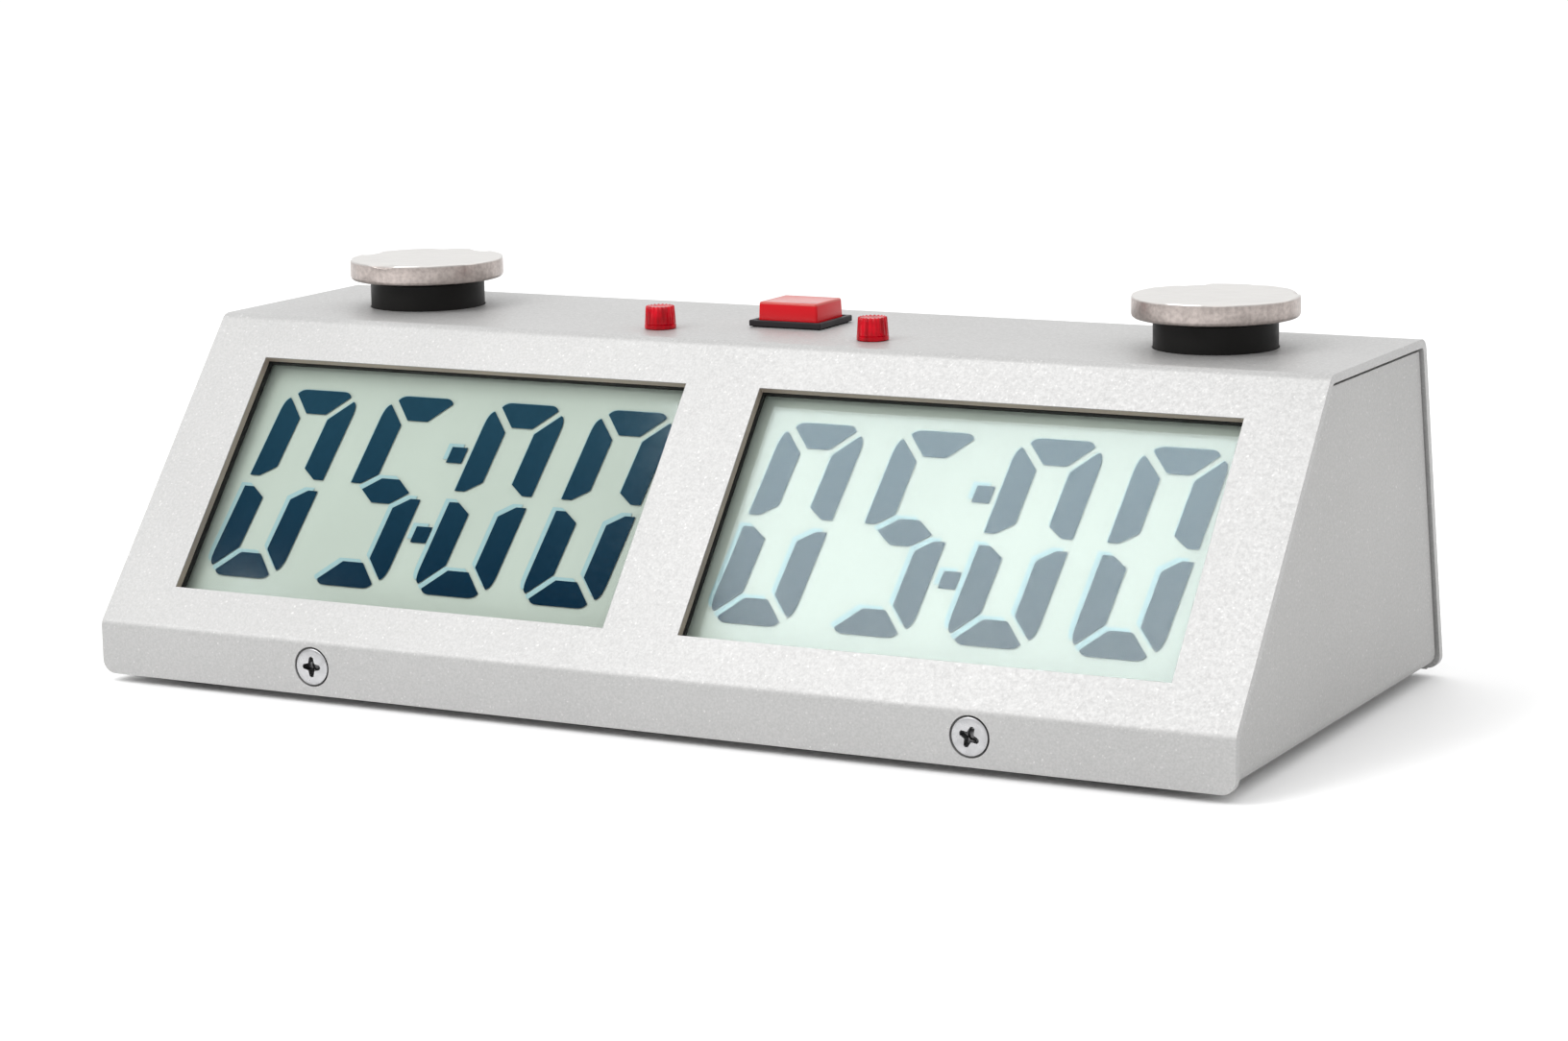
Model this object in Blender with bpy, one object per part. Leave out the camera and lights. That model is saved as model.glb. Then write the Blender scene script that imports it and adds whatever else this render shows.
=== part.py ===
"""Chess clock: a folded sheet-metal case with two LCD windows and two player buttons.

Units are metres, +Z is up and the front faces -Y. The origin is on the table under the case's centre.
Local frames: the front panel's frame runs up the slope with +Z pointing out of the panel, and the
back wall's frame runs up the wall in the same way.
"""

import math

import bmesh
import bpy
from mathutils import Matrix, Vector

# Case
WIDTH = 0.2160                # over the cover's two edges
DEPTH = 0.0975                # front lip to the foot of the back wall
STAND = 0.0015                # the cover's lower edge above the table
LIP_HEIGHT = 0.0092           # upright lip under the sloping panel
CASE_HEIGHT = 0.0595          # cover's lower edge to its top face
FRONT_BEND = 0.0409           # front lip to the bend between slope and top
BACK_BEND = 0.0863            # front lip to the bend between top and back wall
SHEET = 0.0015                # thickness of both folded sheets
BEND_RADIUS = 0.0025          # outside radius of every fold
CORNER_RADIUS = 0.0025        # lower corners of the lip and the back wall
SIDE_INSET = 0.0006           # tray's side walls, inside the cover's edges
TRAY_GAP = 0.0006             # tray's edges to the cover's inner faces, and tray's base to its lower edge
GAP = 0.0003                  # between pieces that touch
FINE_GAP = 0.00015            # under small flanges that rest on the top face

FRONT = -DEPTH / 2
BACK = DEPTH / 2
TOP = STAND + CASE_HEIGHT
SLOPE_RUN = FRONT_BEND
SLOPE_RISE = CASE_HEIGHT - LIP_HEIGHT
SLOPE_ANGLE = math.atan2(SLOPE_RISE, SLOPE_RUN)
WALL_LEAN = math.atan2(DEPTH - BACK_BEND, CASE_HEIGHT)
TRAY_BASE = STAND + TRAY_GAP                   # underside of the tray
TRAY_FLOOR = TRAY_BASE + SHEET                 # inner face of the tray's base
SIDE_FACE = WIDTH / 2 - SIDE_INSET             # outer face of the tray's side walls

# Front panel: positions are distances up the slope, depths are behind the panel's face
WINDOW_X = 0.0512
WINDOW_SIZE = (0.0880, 0.0477)
WINDOW_MIDDLE = 0.03215
BEZEL_MARGIN = 0.0022         # bezel's rim beyond the window
BEZEL_DEPTH = (0.0018, 0.0029)
FRONT_GLASS_DEPTH = (0.0032, 0.0038)
REAR_GLASS_DEPTH = (0.0041, 0.0047)
REFLECTOR_DEPTH = (0.0050, 0.0054)
CONNECTOR_DEPTH = (0.0050, 0.0107)
CONNECTOR_WIDTH = 0.0020
CONNECTOR_LENGTH = 0.1900
GLASS_LEDGE = CONNECTOR_WIDTH + 0.0008         # rear glass beyond the window, above and below
BOARD_DEPTH = (0.0110, 0.0126)
BOARD_SPAN = (0.0060, 0.0605)
BOARD_HALF_WIDTH = 0.1045
POST_X = 0.1013
POST_SPAN = (0.0110, 0.0530)
PART_DEPTH = BOARD_DEPTH[1] + GAP              # where components on the board's back begin

# Buttons and lamps on the top face
PLAYER_X = 0.07865
PLAYER_Y = 0.0157
DISC_RADIUS = 0.0142
DISC_LOW = 0.0051             # disc's underside above the top face
DISC_HIGH = 0.00885
COLLAR_RADIUS = 0.01055
BARREL_RADIUS = 0.0150
BUTTON_BOARD_TOP = -0.0203    # below the top face
SELECT_Y = 0.0155
SELECT_FLANGE = (0.0142, 0.0124)
SELECT_FLANGE_HIGH = 0.00125
SELECT_BODY = (0.0131, 0.0113)
SELECT_CAP = (0.0117, 0.0101)
SELECT_CAP_TOP = (0.0114, 0.0098)
SELECT_CAP_HIGH = 0.0045
LAMP_X = 0.0210
LAMP_Y = 0.0022
LAMP_RADIUS = 0.0028
LAMP_HIGH = 0.0041

# Fasteners, feet and base
SCREW_X = 0.0629
SCREW_HEIGHT = 0.0050         # above the cover's lower edge
SCREW_HEAD = 0.00320          # head radius
SCREW_SHANK = 0.0017
SCREW_LENGTH = 0.0080
REAR_SCREW_UP = 0.0065        # rear cover screws, up the back wall
FLANGE_BACK = 0.0035          # depth of the tray's front flange's rear face behind the lip
REAR_FLANGE_BACK = 0.0035     # the same behind the back wall
FOOT_X = 0.0905
FOOT_Y = (-0.0380, 0.0350)
FOOT_RADIUS = 0.0065
CELL_RADIUS = 0.0071
CELL_PITCH = 0.0150
CELL_Y = 0.0090               # middle cell
CELL_Z = 0.0122
HOLDER_WALL = 0.0015
HOLDER_HALF = (0.0290, 0.0243)
HOLDER_TOP = 0.0212
DOOR_HALF_WIDTH = 0.0285
DOOR_PIVOT = (-0.0132, 0.0034)                 # y and z of the hinge line
DOOR_REAR = 0.0320
DOOR_THICK = 0.0022
TRUNNION_RADIUS = 0.0008
SWITCH_X = 0.0600             # power switch, along the back wall's own X
SWITCH_UP = 0.0300
SWITCH_TRAVEL = 0.0040
CABLE_WIDTH = 0.0042
CABLE_THICK = 0.0012
CABLE_ENDS = (0.0480, 0.0310)  # up the slope: where button cables and the battery cable meet the board

ROUND = 40                    # sides of large round pieces
SMALL_ROUND = 20
SHARP = math.radians(35)


# Tools for shaping
def clear_scene():
    for obj in list(bpy.data.objects):
        bpy.data.objects.remove(obj, do_unlink=True)


def look(name, color, roughness, metallic=0.0, alpha=1.0):
    """A plain Principled material."""
    material = bpy.data.materials.new(name)
    material.use_nodes = True
    shader = material.node_tree.nodes["Principled BSDF"]
    shader.inputs["Base Color"].default_value = (*color, 1.0)
    shader.inputs["Roughness"].default_value = roughness
    shader.inputs["Metallic"].default_value = metallic
    shader.inputs["Alpha"].default_value = alpha
    return material


def at(x=0.0, y=0.0, z=0.0):
    return Matrix.Translation((x, y, z))


def settle(piece, place):
    """Move a bmesh solid to its place, with its faces pointing out."""
    bmesh.ops.transform(piece, matrix=place, verts=piece.verts)
    bmesh.ops.recalc_face_normals(piece, faces=piece.faces)
    return piece


def block(low, high, place=Matrix(), rounding=0.0):
    """A box between two corners, with its edges rounded if asked."""
    piece = bmesh.new()
    bmesh.ops.create_cube(piece, size=1.0)
    low, high = Vector(low), Vector(high)
    scale = Matrix.Diagonal((*(high - low), 1.0))
    bmesh.ops.transform(piece, matrix=Matrix.Translation((low + high) / 2) @ scale, verts=piece.verts)
    if rounding:
        bmesh.ops.bevel(piece, geom=piece.edges[:], offset=rounding, segments=2, profile=0.5,
                        affect="EDGES")
    return settle(piece, place)


def turned(profile, sides, place=Matrix(), ring=False):
    """A solid of revolution about Z from (radius, height) points; a ring's profile closes on itself."""
    piece = bmesh.new()
    verts = [piece.verts.new((radius, 0.0, height)) for radius, height in profile]
    edges = [piece.edges.new(pair) for pair in zip(verts, verts[1:])]
    if ring:
        edges.append(piece.edges.new((verts[-1], verts[0])))
    bmesh.ops.spin(piece, geom=verts + edges, cent=(0, 0, 0), axis=(0, 0, 1), angle=math.tau, steps=sides)
    bmesh.ops.remove_doubles(piece, verts=piece.verts, dist=1e-6)
    return settle(piece, place)


def prism(outline, axis, start, end, place=Matrix()):
    """An outline in the plane across X, Y or Z, extruded along that axis from start to end."""
    lift = {"X": lambda a, b: (start, a, b), "Y": lambda a, b: (a, start, b),
            "Z": lambda a, b: (a, b, start)}
    piece = bmesh.new()
    face = piece.faces.new([piece.verts.new(lift[axis](*point)) for point in outline])
    grown = bmesh.ops.extrude_face_region(piece, geom=[face])
    moved = [item for item in grown["geom"] if isinstance(item, bmesh.types.BMVert)]
    step = Vector([end - start if axis == letter else 0.0 for letter in "XYZ"])
    bmesh.ops.translate(piece, vec=step, verts=moved)
    return settle(piece, place)


def folded_line(corners, radius, inset, steps=4):
    """The line of a folded sheet with its inside on the right, inset from the outer face."""
    line = [Vector(corner) for corner in corners]
    ways = [(end - start).normalized() for start, end in zip(line, line[1:])]
    inward = [Vector((way.y, -way.x)) for way in ways]
    points = [line[0] + inward[0] * inset]
    for corner, way_in, side_in, side_out in zip(line[1:], ways, inward, inward[1:]):
        turn = side_in.angle_signed(side_out)
        reach = radius * math.tan(abs(turn) / 2)
        centre = corner - way_in * reach + side_in * radius
        for step in range(steps + 1):
            spoke = side_in.copy()
            spoke.rotate(Matrix.Rotation(-turn * step / steps, 2))
            points.append(centre - spoke * (radius - inset))
    points.append(line[-1] + inward[-1] * inset)
    return points


def folded_sheet(corners):
    """The cross-section of one folded sheet, as a closed outline."""
    outer = folded_line(corners, BEND_RADIUS, 0.0)
    inner = folded_line(corners, BEND_RADIUS, SHEET)
    return outer + inner[::-1]


def rounded_rectangle(half_x, half_y, radius, steps=4):
    """An outline about the origin with four round corners."""
    points = []
    for quarter, (sx, sy) in enumerate(((1, 1), (-1, 1), (-1, -1), (1, -1))):
        for step in range(steps + 1):
            angle = math.radians(90) * (quarter + step / steps)
            points.append((sx * (half_x - radius) + radius * math.cos(angle),
                           sy * (half_y - radius) + radius * math.sin(angle)))
    return points


def node(name, solids, material, parent=None, smooth=False):
    """One named object; a cutter may hold several solids that don't touch."""
    whole = bmesh.new()
    for piece in solids:
        holder = bpy.data.meshes.new("holder")
        piece.to_mesh(holder)
        piece.free()
        whole.from_mesh(holder)
        bpy.data.meshes.remove(holder)
    mesh = bpy.data.meshes.new(name)
    whole.to_mesh(mesh)
    whole.free()
    if smooth:
        mesh.shade_smooth()
        mesh.set_sharp_from_angle(angle=SHARP)
    if material:
        mesh.materials.append(material)
    obj = bpy.data.objects.new(name, mesh)
    obj.parent = parent
    bpy.context.scene.collection.objects.link(obj)
    return obj


def combine(target, solids, operation, parent=None):
    """Cut or join a hidden shape into an object."""
    shape = node(target.name + "_" + operation.lower(), solids, None, parent)
    shape.hide_render = True
    shape.display_type = "WIRE"
    modifier = target.modifiers.new(operation.title(), "BOOLEAN")
    modifier.operation = operation
    modifier.solver = "EXACT"
    modifier.object = shape


def cut(target, solids, parent=None):
    combine(target, solids, "DIFFERENCE", parent)


def join(target, solids, parent=None):
    combine(target, solids, "UNION", parent)


def keep(target, solids, parent=None):
    combine(target, solids, "INTERSECT", parent)


def frame(name, place):
    """An empty that carries pieces placed in its own axes."""
    empty = bpy.data.objects.new(name, None)
    empty.matrix_world = place
    bpy.context.scene.collection.objects.link(empty)
    return empty


def smooth_route(points, steps):
    """Points on one smooth curve through a route's own points."""
    route = [Vector(point) for point in points]
    padded = [route[0]] + route + [route[-1]]
    curve = []
    for before, start, end, after in zip(padded, padded[1:], padded[2:], padded[3:]):
        for step in range(steps):
            t = step / steps
            curve.append(0.5 * (2 * start + (end - before) * t
                                + (2 * before - 5 * start + 4 * end - after) * t ** 2
                                + (3 * start - before - 3 * end + after) * t ** 3))
    return curve + [route[-1]]


def wire(name, routes, radius, material, parent=None, resolution=1):
    """Round wire along each route, with closed ends."""
    data = bpy.data.curves.new(name, "CURVE")
    data.dimensions = "3D"
    data.bevel_depth = radius
    data.bevel_resolution = resolution
    data.use_fill_caps = True
    for route in routes:
        spline = data.splines.new("POLY")
        spline.points.add(len(route) - 1)
        for point, place in zip(spline.points, route):
            point.co = (*place, 1.0)
    data.materials.append(material)
    obj = bpy.data.objects.new(name, data)
    obj.parent = parent
    bpy.context.scene.collection.objects.link(obj)
    return obj


def helix(radius, low, high, turns, per_turn=10):
    """A coil's centre line about Z."""
    count = round(turns * per_turn)
    angles = [math.tau * turns * step / count for step in range(count + 1)]
    return [(radius * math.cos(angle), radius * math.sin(angle),
             low + (high - low) * angle / (math.tau * turns)) for angle in angles]


# Materials
def make_looks():
    return {
        "case": look("silver_powder_coat", (0.66, 0.65, 0.63), 0.45, 0.3),
        "tray": look("grey_powder_coat", (0.52, 0.52, 0.51), 0.5, 0.3),
        "nickel": look("satin_nickel", (0.72, 0.70, 0.67), 0.3, 1.0),
        "steel": look("bright_steel", (0.75, 0.75, 0.76), 0.25, 1.0),
        "spring": look("spring_steel", (0.5, 0.5, 0.52), 0.35, 1.0),
        "black": look("black_plastic", (0.02, 0.02, 0.021), 0.45),
        "rubber": look("black_rubber", (0.025, 0.025, 0.025), 0.8),
        "red": look("red_plastic", (0.62, 0.02, 0.04), 0.35),
        "lens": look("red_lens", (0.6, 0.0, 0.03), 0.15),
        "glass": look("lcd_glass", (0.8, 0.85, 0.8), 0.1, 0.0, 0.35),
        "film": look("lcd_film", (0.55, 0.62, 0.54), 0.5),
        "board": look("green_board", (0.03, 0.18, 0.07), 0.5),
        "white": look("white_plastic", (0.8, 0.79, 0.74), 0.4),
        "wire": look("wire_red", (0.55, 0.03, 0.03), 0.45),
        "cell": look("cell_jacket", (0.12, 0.13, 0.16), 0.35, 0.4),
    }


# Case
CASE_LINE = [(FRONT, STAND), (FRONT, STAND + LIP_HEIGHT), (FRONT + FRONT_BEND, TOP),
             (FRONT + BACK_BEND, TOP), (BACK, STAND)]


def along_y(x, z, y=0.0):
    """A turned piece's axis laid along +Y, its own +Z pointing to the back."""
    return at(x, y, z) @ Matrix.Rotation(math.radians(-90), 4, "X")


def into_wall(x, up):
    """A turned piece's +Z pointing inwards through the back wall."""
    return at(x, up, 0.0) @ Matrix.Rotation(math.pi, 4, "X")


def screw_seat(place):
    """The countersunk hole for a cover screw; local +Z runs into the case."""
    rim = SCREW_HEAD + 0.00025
    profile = [(0.0, -0.002), (rim, -0.002), (rim, 0.0), (0.0019, rim - 0.0019), (0.0019, 0.004),
               (0.0, 0.004)]
    return turned(profile, SMALL_ROUND, place)


def corner_cutter(side, start, end):
    """What rounds off one lower corner of the lip or the back wall."""
    edge, beyond = WIDTH / 2, 0.001
    arc = [(edge - CORNER_RADIUS * (1 - math.cos(angle)), STAND + CORNER_RADIUS * (1 - math.sin(angle)))
           for angle in [math.radians(15 * step) for step in range(7)]]
    outline = [(edge + beyond, STAND - beyond), (edge + beyond, STAND + CORNER_RADIUS)] + arc
    outline.append((edge - CORNER_RADIUS, STAND - beyond))
    return prism([(side * x, z) for x, z in outline], "Y", start, end)


def make_cover(looks, slope, wall):
    cover = node("cover", [prism(folded_sheet(CASE_LINE), "X", -WIDTH / 2, WIDTH / 2)], looks["case"])
    cut(cover, [corner_cutter(side, *span) for side in (-1, 1)
                for span in ((FRONT - 0.001, FRONT + 0.004), (BACK - 0.004, BACK + 0.001))])

    half_x, half_s = (size / 2 for size in WINDOW_SIZE)
    windows = [block((side * WINDOW_X - half_x, WINDOW_MIDDLE - half_s, -0.004),
                     (side * WINDOW_X + half_x, WINDOW_MIDDLE + half_s, 0.004)) for side in (-1, 1)]
    cut(cover, windows, slope)

    hole = COLLAR_RADIUS + GAP
    lamp_hole = 0.0026
    opening_x, opening_y = (side / 2 + 0.0002 for side in SELECT_BODY)
    low, high = TOP - 0.004, TOP + 0.002
    top_holes = [block((-opening_x, SELECT_Y - opening_y, low),
                       (opening_x, SELECT_Y + opening_y, high))]
    for side in (-1, 1):
        top_holes.append(turned([(0, low), (hole, low), (hole, high), (0, high)], ROUND,
                                at(side * PLAYER_X, PLAYER_Y)))
        top_holes.append(turned([(0, low), (lamp_hole, low), (lamp_hole, high), (0, high)], SMALL_ROUND,
                                at(side * LAMP_X, LAMP_Y)))
        top_holes.append(screw_seat(along_y(side * SCREW_X, STAND + SCREW_HEIGHT, FRONT)))
    cut(cover, top_holes)

    slot = (0.0046 + SWITCH_TRAVEL) / 2 + 0.0004
    wall_holes = [block((SWITCH_X - slot, SWITCH_UP - 0.0026, -0.004),
                        (SWITCH_X + slot, SWITCH_UP + 0.0026, 0.004))]
    for side in (-1, 1):
        wall_holes.append(screw_seat(into_wall(side * SCREW_X, REAR_SCREW_UP)))
    cut(cover, wall_holes, wall)
    return cover


def make_tray(looks, wall):
    """Base and side walls folded from one sheet, trimmed to the cover's inside, with two screw flanges."""
    fold = [(SIDE_FACE, TOP), (SIDE_FACE, TRAY_BASE), (-SIDE_FACE, TRAY_BASE), (-SIDE_FACE, TOP)]
    tray = node("chassis_tray", [prism(folded_sheet(fold), "Y", FRONT, BACK)], looks["tray"])
    inside = folded_line(CASE_LINE, BEND_RADIUS, SHEET + TRAY_GAP, 2)
    low_front, low_back = inside[0], inside[-1]
    trim = [(low_front.x, 0.0)] + [tuple(point) for point in inside] + [(low_back.x, 0.0)]
    keep(tray, [prism(trim, "X", -WIDTH, WIDTH)])

    flange_half = SIDE_FACE - 0.0034
    flange_rear = FRONT + FLANGE_BACK
    join(tray, [block((-flange_half, flange_rear - SHEET, TRAY_BASE + 0.0004),
                      (flange_half, flange_rear, 0.0096))])
    join(tray, [block((-flange_half, 0.0013, -REAR_FLANGE_BACK),
                      (flange_half, 0.0105, SHEET - REAR_FLANGE_BACK))],
         wall)

    holes = []
    shaft = SCREW_SHANK + GAP
    for side in (-1, 1):
        holes.append(turned([(0, 0), (shaft, 0), (shaft, 0.008), (0, 0.008)], SMALL_ROUND,
                            along_y(side * SCREW_X, STAND + SCREW_HEIGHT, FRONT)))
        for y in FOOT_Y:
            holes.append(turned([(0, 0), (0.0025, 0), (0.0025, 0.008), (0, 0.008)], SMALL_ROUND,
                                at(side * FOOT_X, y)))
    door_half = DOOR_HALF_WIDTH + 0.0004
    lug_half = 0.0318
    pivot_y = DOOR_PIVOT[0]
    outline = [(-door_half, DOOR_REAR + 0.0004), (-door_half, pivot_y + 0.0027),
               (-lug_half, pivot_y + 0.0027),
               (-lug_half, pivot_y - 0.0027), (lug_half, pivot_y - 0.0027), (lug_half, pivot_y + 0.0027),
               (door_half, pivot_y + 0.0027), (door_half, DOOR_REAR + 0.0004)]
    holes.append(prism(outline, "Z", 0.0, 0.006))
    cut(tray, holes)
    cut(tray, [turned([(0, -0.002), (shaft, -0.002), (shaft, 0.008), (0, 0.008)], SMALL_ROUND,
                      into_wall(side * SCREW_X, REAR_SCREW_UP)) for side in (-1, 1)], wall)


def cross_outline(arm, half):
    """A plus sign, for a driver's recess."""
    points = []
    for quarter in range(4):
        turn = Matrix.Rotation(math.radians(90 * quarter), 2)
        points += [tuple(turn @ Vector(point)) for point in ((half, -half), (arm, -half), (arm, half))]
    return points


def countersunk_screw(place):
    """A cover screw; its head's face is at local zero and it runs along +Z."""
    flat = 0.00005
    cone = flat + 0.0002 + SCREW_HEAD - SCREW_SHANK
    profile = [(0, flat), (SCREW_HEAD, flat), (SCREW_HEAD, flat + 0.0002), (SCREW_SHANK, cone),
               (SCREW_SHANK, SCREW_LENGTH - 0.0006), (SCREW_SHANK - 0.0006, SCREW_LENGTH),
               (0, SCREW_LENGTH)]
    return turned(profile, SMALL_ROUND, place)


def make_cover_screws(looks, wall):
    """Two screws through the lip and two through the back wall, each threaded into a flange of the tray."""
    seats = {}
    for side, name in ((-1, "left"), (1, "right")):
        seats["front_cover_screw_" + name] = along_y(side * SCREW_X, STAND + SCREW_HEIGHT, FRONT)
        seats["rear_cover_screw_" + name] = wall.matrix_world @ into_wall(-side * SCREW_X, REAR_SCREW_UP)
    recess = cross_outline(0.0019, 0.00042)
    for (name, place), angle in zip(seats.items(), (12, 40, 22, 5)):
        turn = Matrix.Rotation(math.radians(angle), 4, "Z")
        screw = node(name, [countersunk_screw(place)], looks["steel"], smooth=True)
        cut(screw, [prism(recess, "Z", -0.001, 0.0013, place @ turn)])


def make_feet(looks):
    """Push-in rubber feet: a pad under the tray, a stem through it and a barb above."""
    pad_top = TRAY_BASE - GAP
    barb = TRAY_FLOOR + GAP
    profile = [(0, 0), (FOOT_RADIUS - 0.0009, 0), (FOOT_RADIUS, 0.0006), (FOOT_RADIUS, pad_top),
               (0.0022, pad_top),
               (0.0022, barb), (0.0032, barb), (0.0018, barb + 0.0022), (0, barb + 0.0022)]
    for side, name in ((-1, "left"), (1, "right")):
        for y, row in zip(FOOT_Y, ("front", "rear")):
            node(f"rubber_foot_{row}_{name}", [turned(profile, SMALL_ROUND, at(side * FOOT_X, y))],
                 looks["rubber"],
                 smooth=True)


# Displays and main board
def panel_block(x, s, size, depth, rounding=0.0):
    """A box behind the front panel, about x and the distance s up the slope."""
    return block((x - size[0] / 2, s - size[1] / 2, -depth[1]),
                 (x + size[0] / 2, s + size[1] / 2, -depth[0]),
                 rounding=rounding)


def make_display(looks, slope, side, name):
    x = side * WINDOW_X
    width, height = WINDOW_SIZE
    outer = (width + 2 * BEZEL_MARGIN, height + 2 * BEZEL_MARGIN)
    bezel = node("lcd_bezel_" + name, [panel_block(x, WINDOW_MIDDLE, outer, BEZEL_DEPTH)], looks["black"],
                 slope)
    cut(bezel, [panel_block(x, WINDOW_MIDDLE, WINDOW_SIZE, (0.0, 0.006))], slope)

    plate = (outer[0] - 0.0008, outer[1] - 0.0008)
    rear_plate = (plate[0], height + 2 * GLASS_LEDGE)
    node("lcd_front_glass_" + name, [panel_block(x, WINDOW_MIDDLE, plate, FRONT_GLASS_DEPTH)],
         looks["glass"], slope)
    node("lcd_rear_glass_" + name, [panel_block(x, WINDOW_MIDDLE, rear_plate, REAR_GLASS_DEPTH)],
         looks["glass"],
         slope)
    node("lcd_reflector_" + name, [panel_block(x, WINDOW_MIDDLE, (plate[0], height + 0.0004),
                                               REFLECTOR_DEPTH)],
         looks["film"], slope)


def make_display_connectors(looks, slope):
    """Rubber strips that join both rear glasses' upper and lower ledges to the board."""
    reach = WINDOW_SIZE[1] / 2 + GLASS_LEDGE - CONNECTOR_WIDTH / 2
    for end, name in ((-1, "lower"), (1, "upper")):
        strip = panel_block(0.0, WINDOW_MIDDLE + end * reach, (CONNECTOR_LENGTH, CONNECTOR_WIDTH),
                            CONNECTOR_DEPTH)
        node("lcd_connector_" + name, [strip], looks["rubber"], slope)


def make_board(looks, slope):
    """The board behind both displays, on four posts that are fixed to the panel and snap through it."""
    board = node("main_board", [block((-BOARD_HALF_WIDTH, BOARD_SPAN[0], -BOARD_DEPTH[1]),
                                      (BOARD_HALF_WIDTH, BOARD_SPAN[1], -BOARD_DEPTH[0]))],
                 looks["board"], slope)
    places = {f"board_post_{row}_{name}": at(side * POST_X, s)
              for side, name in ((-1, "left"), (1, "right"))
              for s, row in zip(POST_SPAN, ("lower", "upper"))}
    hole = 0.0018
    cut(board, [turned([(0, -0.02), (hole, -0.02), (hole, 0), (0, 0)], 16, place)
                for place in places.values()],
        slope)
    neck, shoulder = 0.0015, GAP - BOARD_DEPTH[0]
    post = [(0, -0.0158), (0.0012, -0.0158), (0.0023, -PART_DEPTH), (neck, -PART_DEPTH), (neck, shoulder),
            (0.0026, shoulder), (0.0026, -0.0040), (0.0032, -0.0030), (0.0032, -SHEET - GAP),
            (0, -SHEET - GAP)]
    for name, place in places.items():
        node(name, [turned(post, 16, place)], looks["white"], slope, smooth=True)


def make_components(looks, slope):
    """What is soldered to the board's back."""
    node("processor_chip", [panel_block(-0.016, 0.036, (0.014, 0.014),
                                        (PART_DEPTH, PART_DEPTH + 0.0016))],
         looks["black"], slope)
    body = [(0, -0.0170), (0.0012, -0.0170), (0.0012, -0.0194), (0.0060, -0.0194), (0.0060, -PART_DEPTH),
            (0, -PART_DEPTH)]
    node("piezo_buzzer", [turned(body, 24, at(0.060, 0.030))], looks["black"], slope, smooth=True)


# Buttons and lamps
def make_player_button(looks, side, name):
    """One player's button: disc, plunger, bolt and spring ride on the axis; housing and switch stay."""
    axis = frame(name + "_button_axis", at(side * PLAYER_X, PLAYER_Y, TOP))
    disc = [(0, 0.0076), (0.0023, 0.0076), (0.0023, DISC_LOW), (DISC_RADIUS - 0.0003, DISC_LOW),
            (DISC_RADIUS, DISC_LOW + 0.0003), (DISC_RADIUS, DISC_HIGH - 0.0004),
            (DISC_RADIUS - 0.0004, DISC_HIGH), (0, DISC_HIGH)]
    node("player_disc_" + name, [turned(disc, 48)], looks["nickel"], axis, smooth=True)

    ceiling, skirt, boss = 0.0010, -0.0100, -0.0090
    plunger = [(0.0023, DISC_LOW - GAP), (COLLAR_RADIUS, DISC_LOW - GAP), (COLLAR_RADIUS, -0.0080),
               (0.0120, -0.0080), (0.0120, skirt), (0.0092, skirt), (0.0092, ceiling), (0.0042, ceiling), (0.0042, boss),
               (0.0023, boss)]
    node("player_plunger_" + name, [turned(plunger, ROUND, ring=True)], looks["black"], axis, smooth=True)
    bolt = [(0, boss - 0.0030), (0.0035, boss - 0.0030), (0.0035, boss - GAP), (0.0020, boss - GAP),
            (0.0020, 0.0073), (0, 0.0073)]
    node("player_bolt_" + name, [turned(bolt, 16)], looks["steel"], axis, smooth=True)

    board_top = BUTTON_BOARD_TOP
    wire_radius = 0.0005
    wire("player_spring_" + name, [helix(0.0066, board_top + GAP + wire_radius,
                                         ceiling - GAP - wire_radius, 6.5)],
         wire_radius, looks["spring"], axis)

    under = -SHEET - GAP
    housing = node("player_housing_" + name, [turned([(0, -0.0200), (BARREL_RADIUS, -0.0200),
                                                      (BARREL_RADIUS, under), (0, under)], ROUND)],
                   looks["white"], axis, smooth=True)
    join(housing, [prism(rounded_rectangle(0.0220, 0.0045, 0.0040, 3), "Z", under - 0.0025,
                         under - 0.0004)], axis)
    neck, bore = COLLAR_RADIUS + GAP, 0.0123
    bore_line = [(0, -0.022), (bore, -0.022), (bore, -0.0077), (neck, -0.0077), (neck, 0), (0, 0)]
    holes = [turned(bore_line, ROUND)]
    cut(housing, holes, axis)

    board_low = board_top - 0.0016
    node("button_board_" + name, [turned([(0, board_low), (BARREL_RADIUS, board_low),
                                          (BARREL_RADIUS, board_top),
                                          (0, board_top)], 32)], looks["board"], axis)
    switch = node("button_switch_" + name, [block((-0.003, -0.003, board_top + GAP),
                                                  (0.003, 0.003, -0.0164))],
                  looks["black"], axis)
    join(switch, [turned([(0, -0.018), (0.00175, -0.018), (0.00175, -0.0144), (0, -0.0144)], 16)], axis)


def oblong(half_x, half_y, low, high):
    return block((-half_x, -half_y, low), (half_x, half_y, high))


def square(half, low, high):
    return block((-half, -half, low), (half, half, high))


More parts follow.
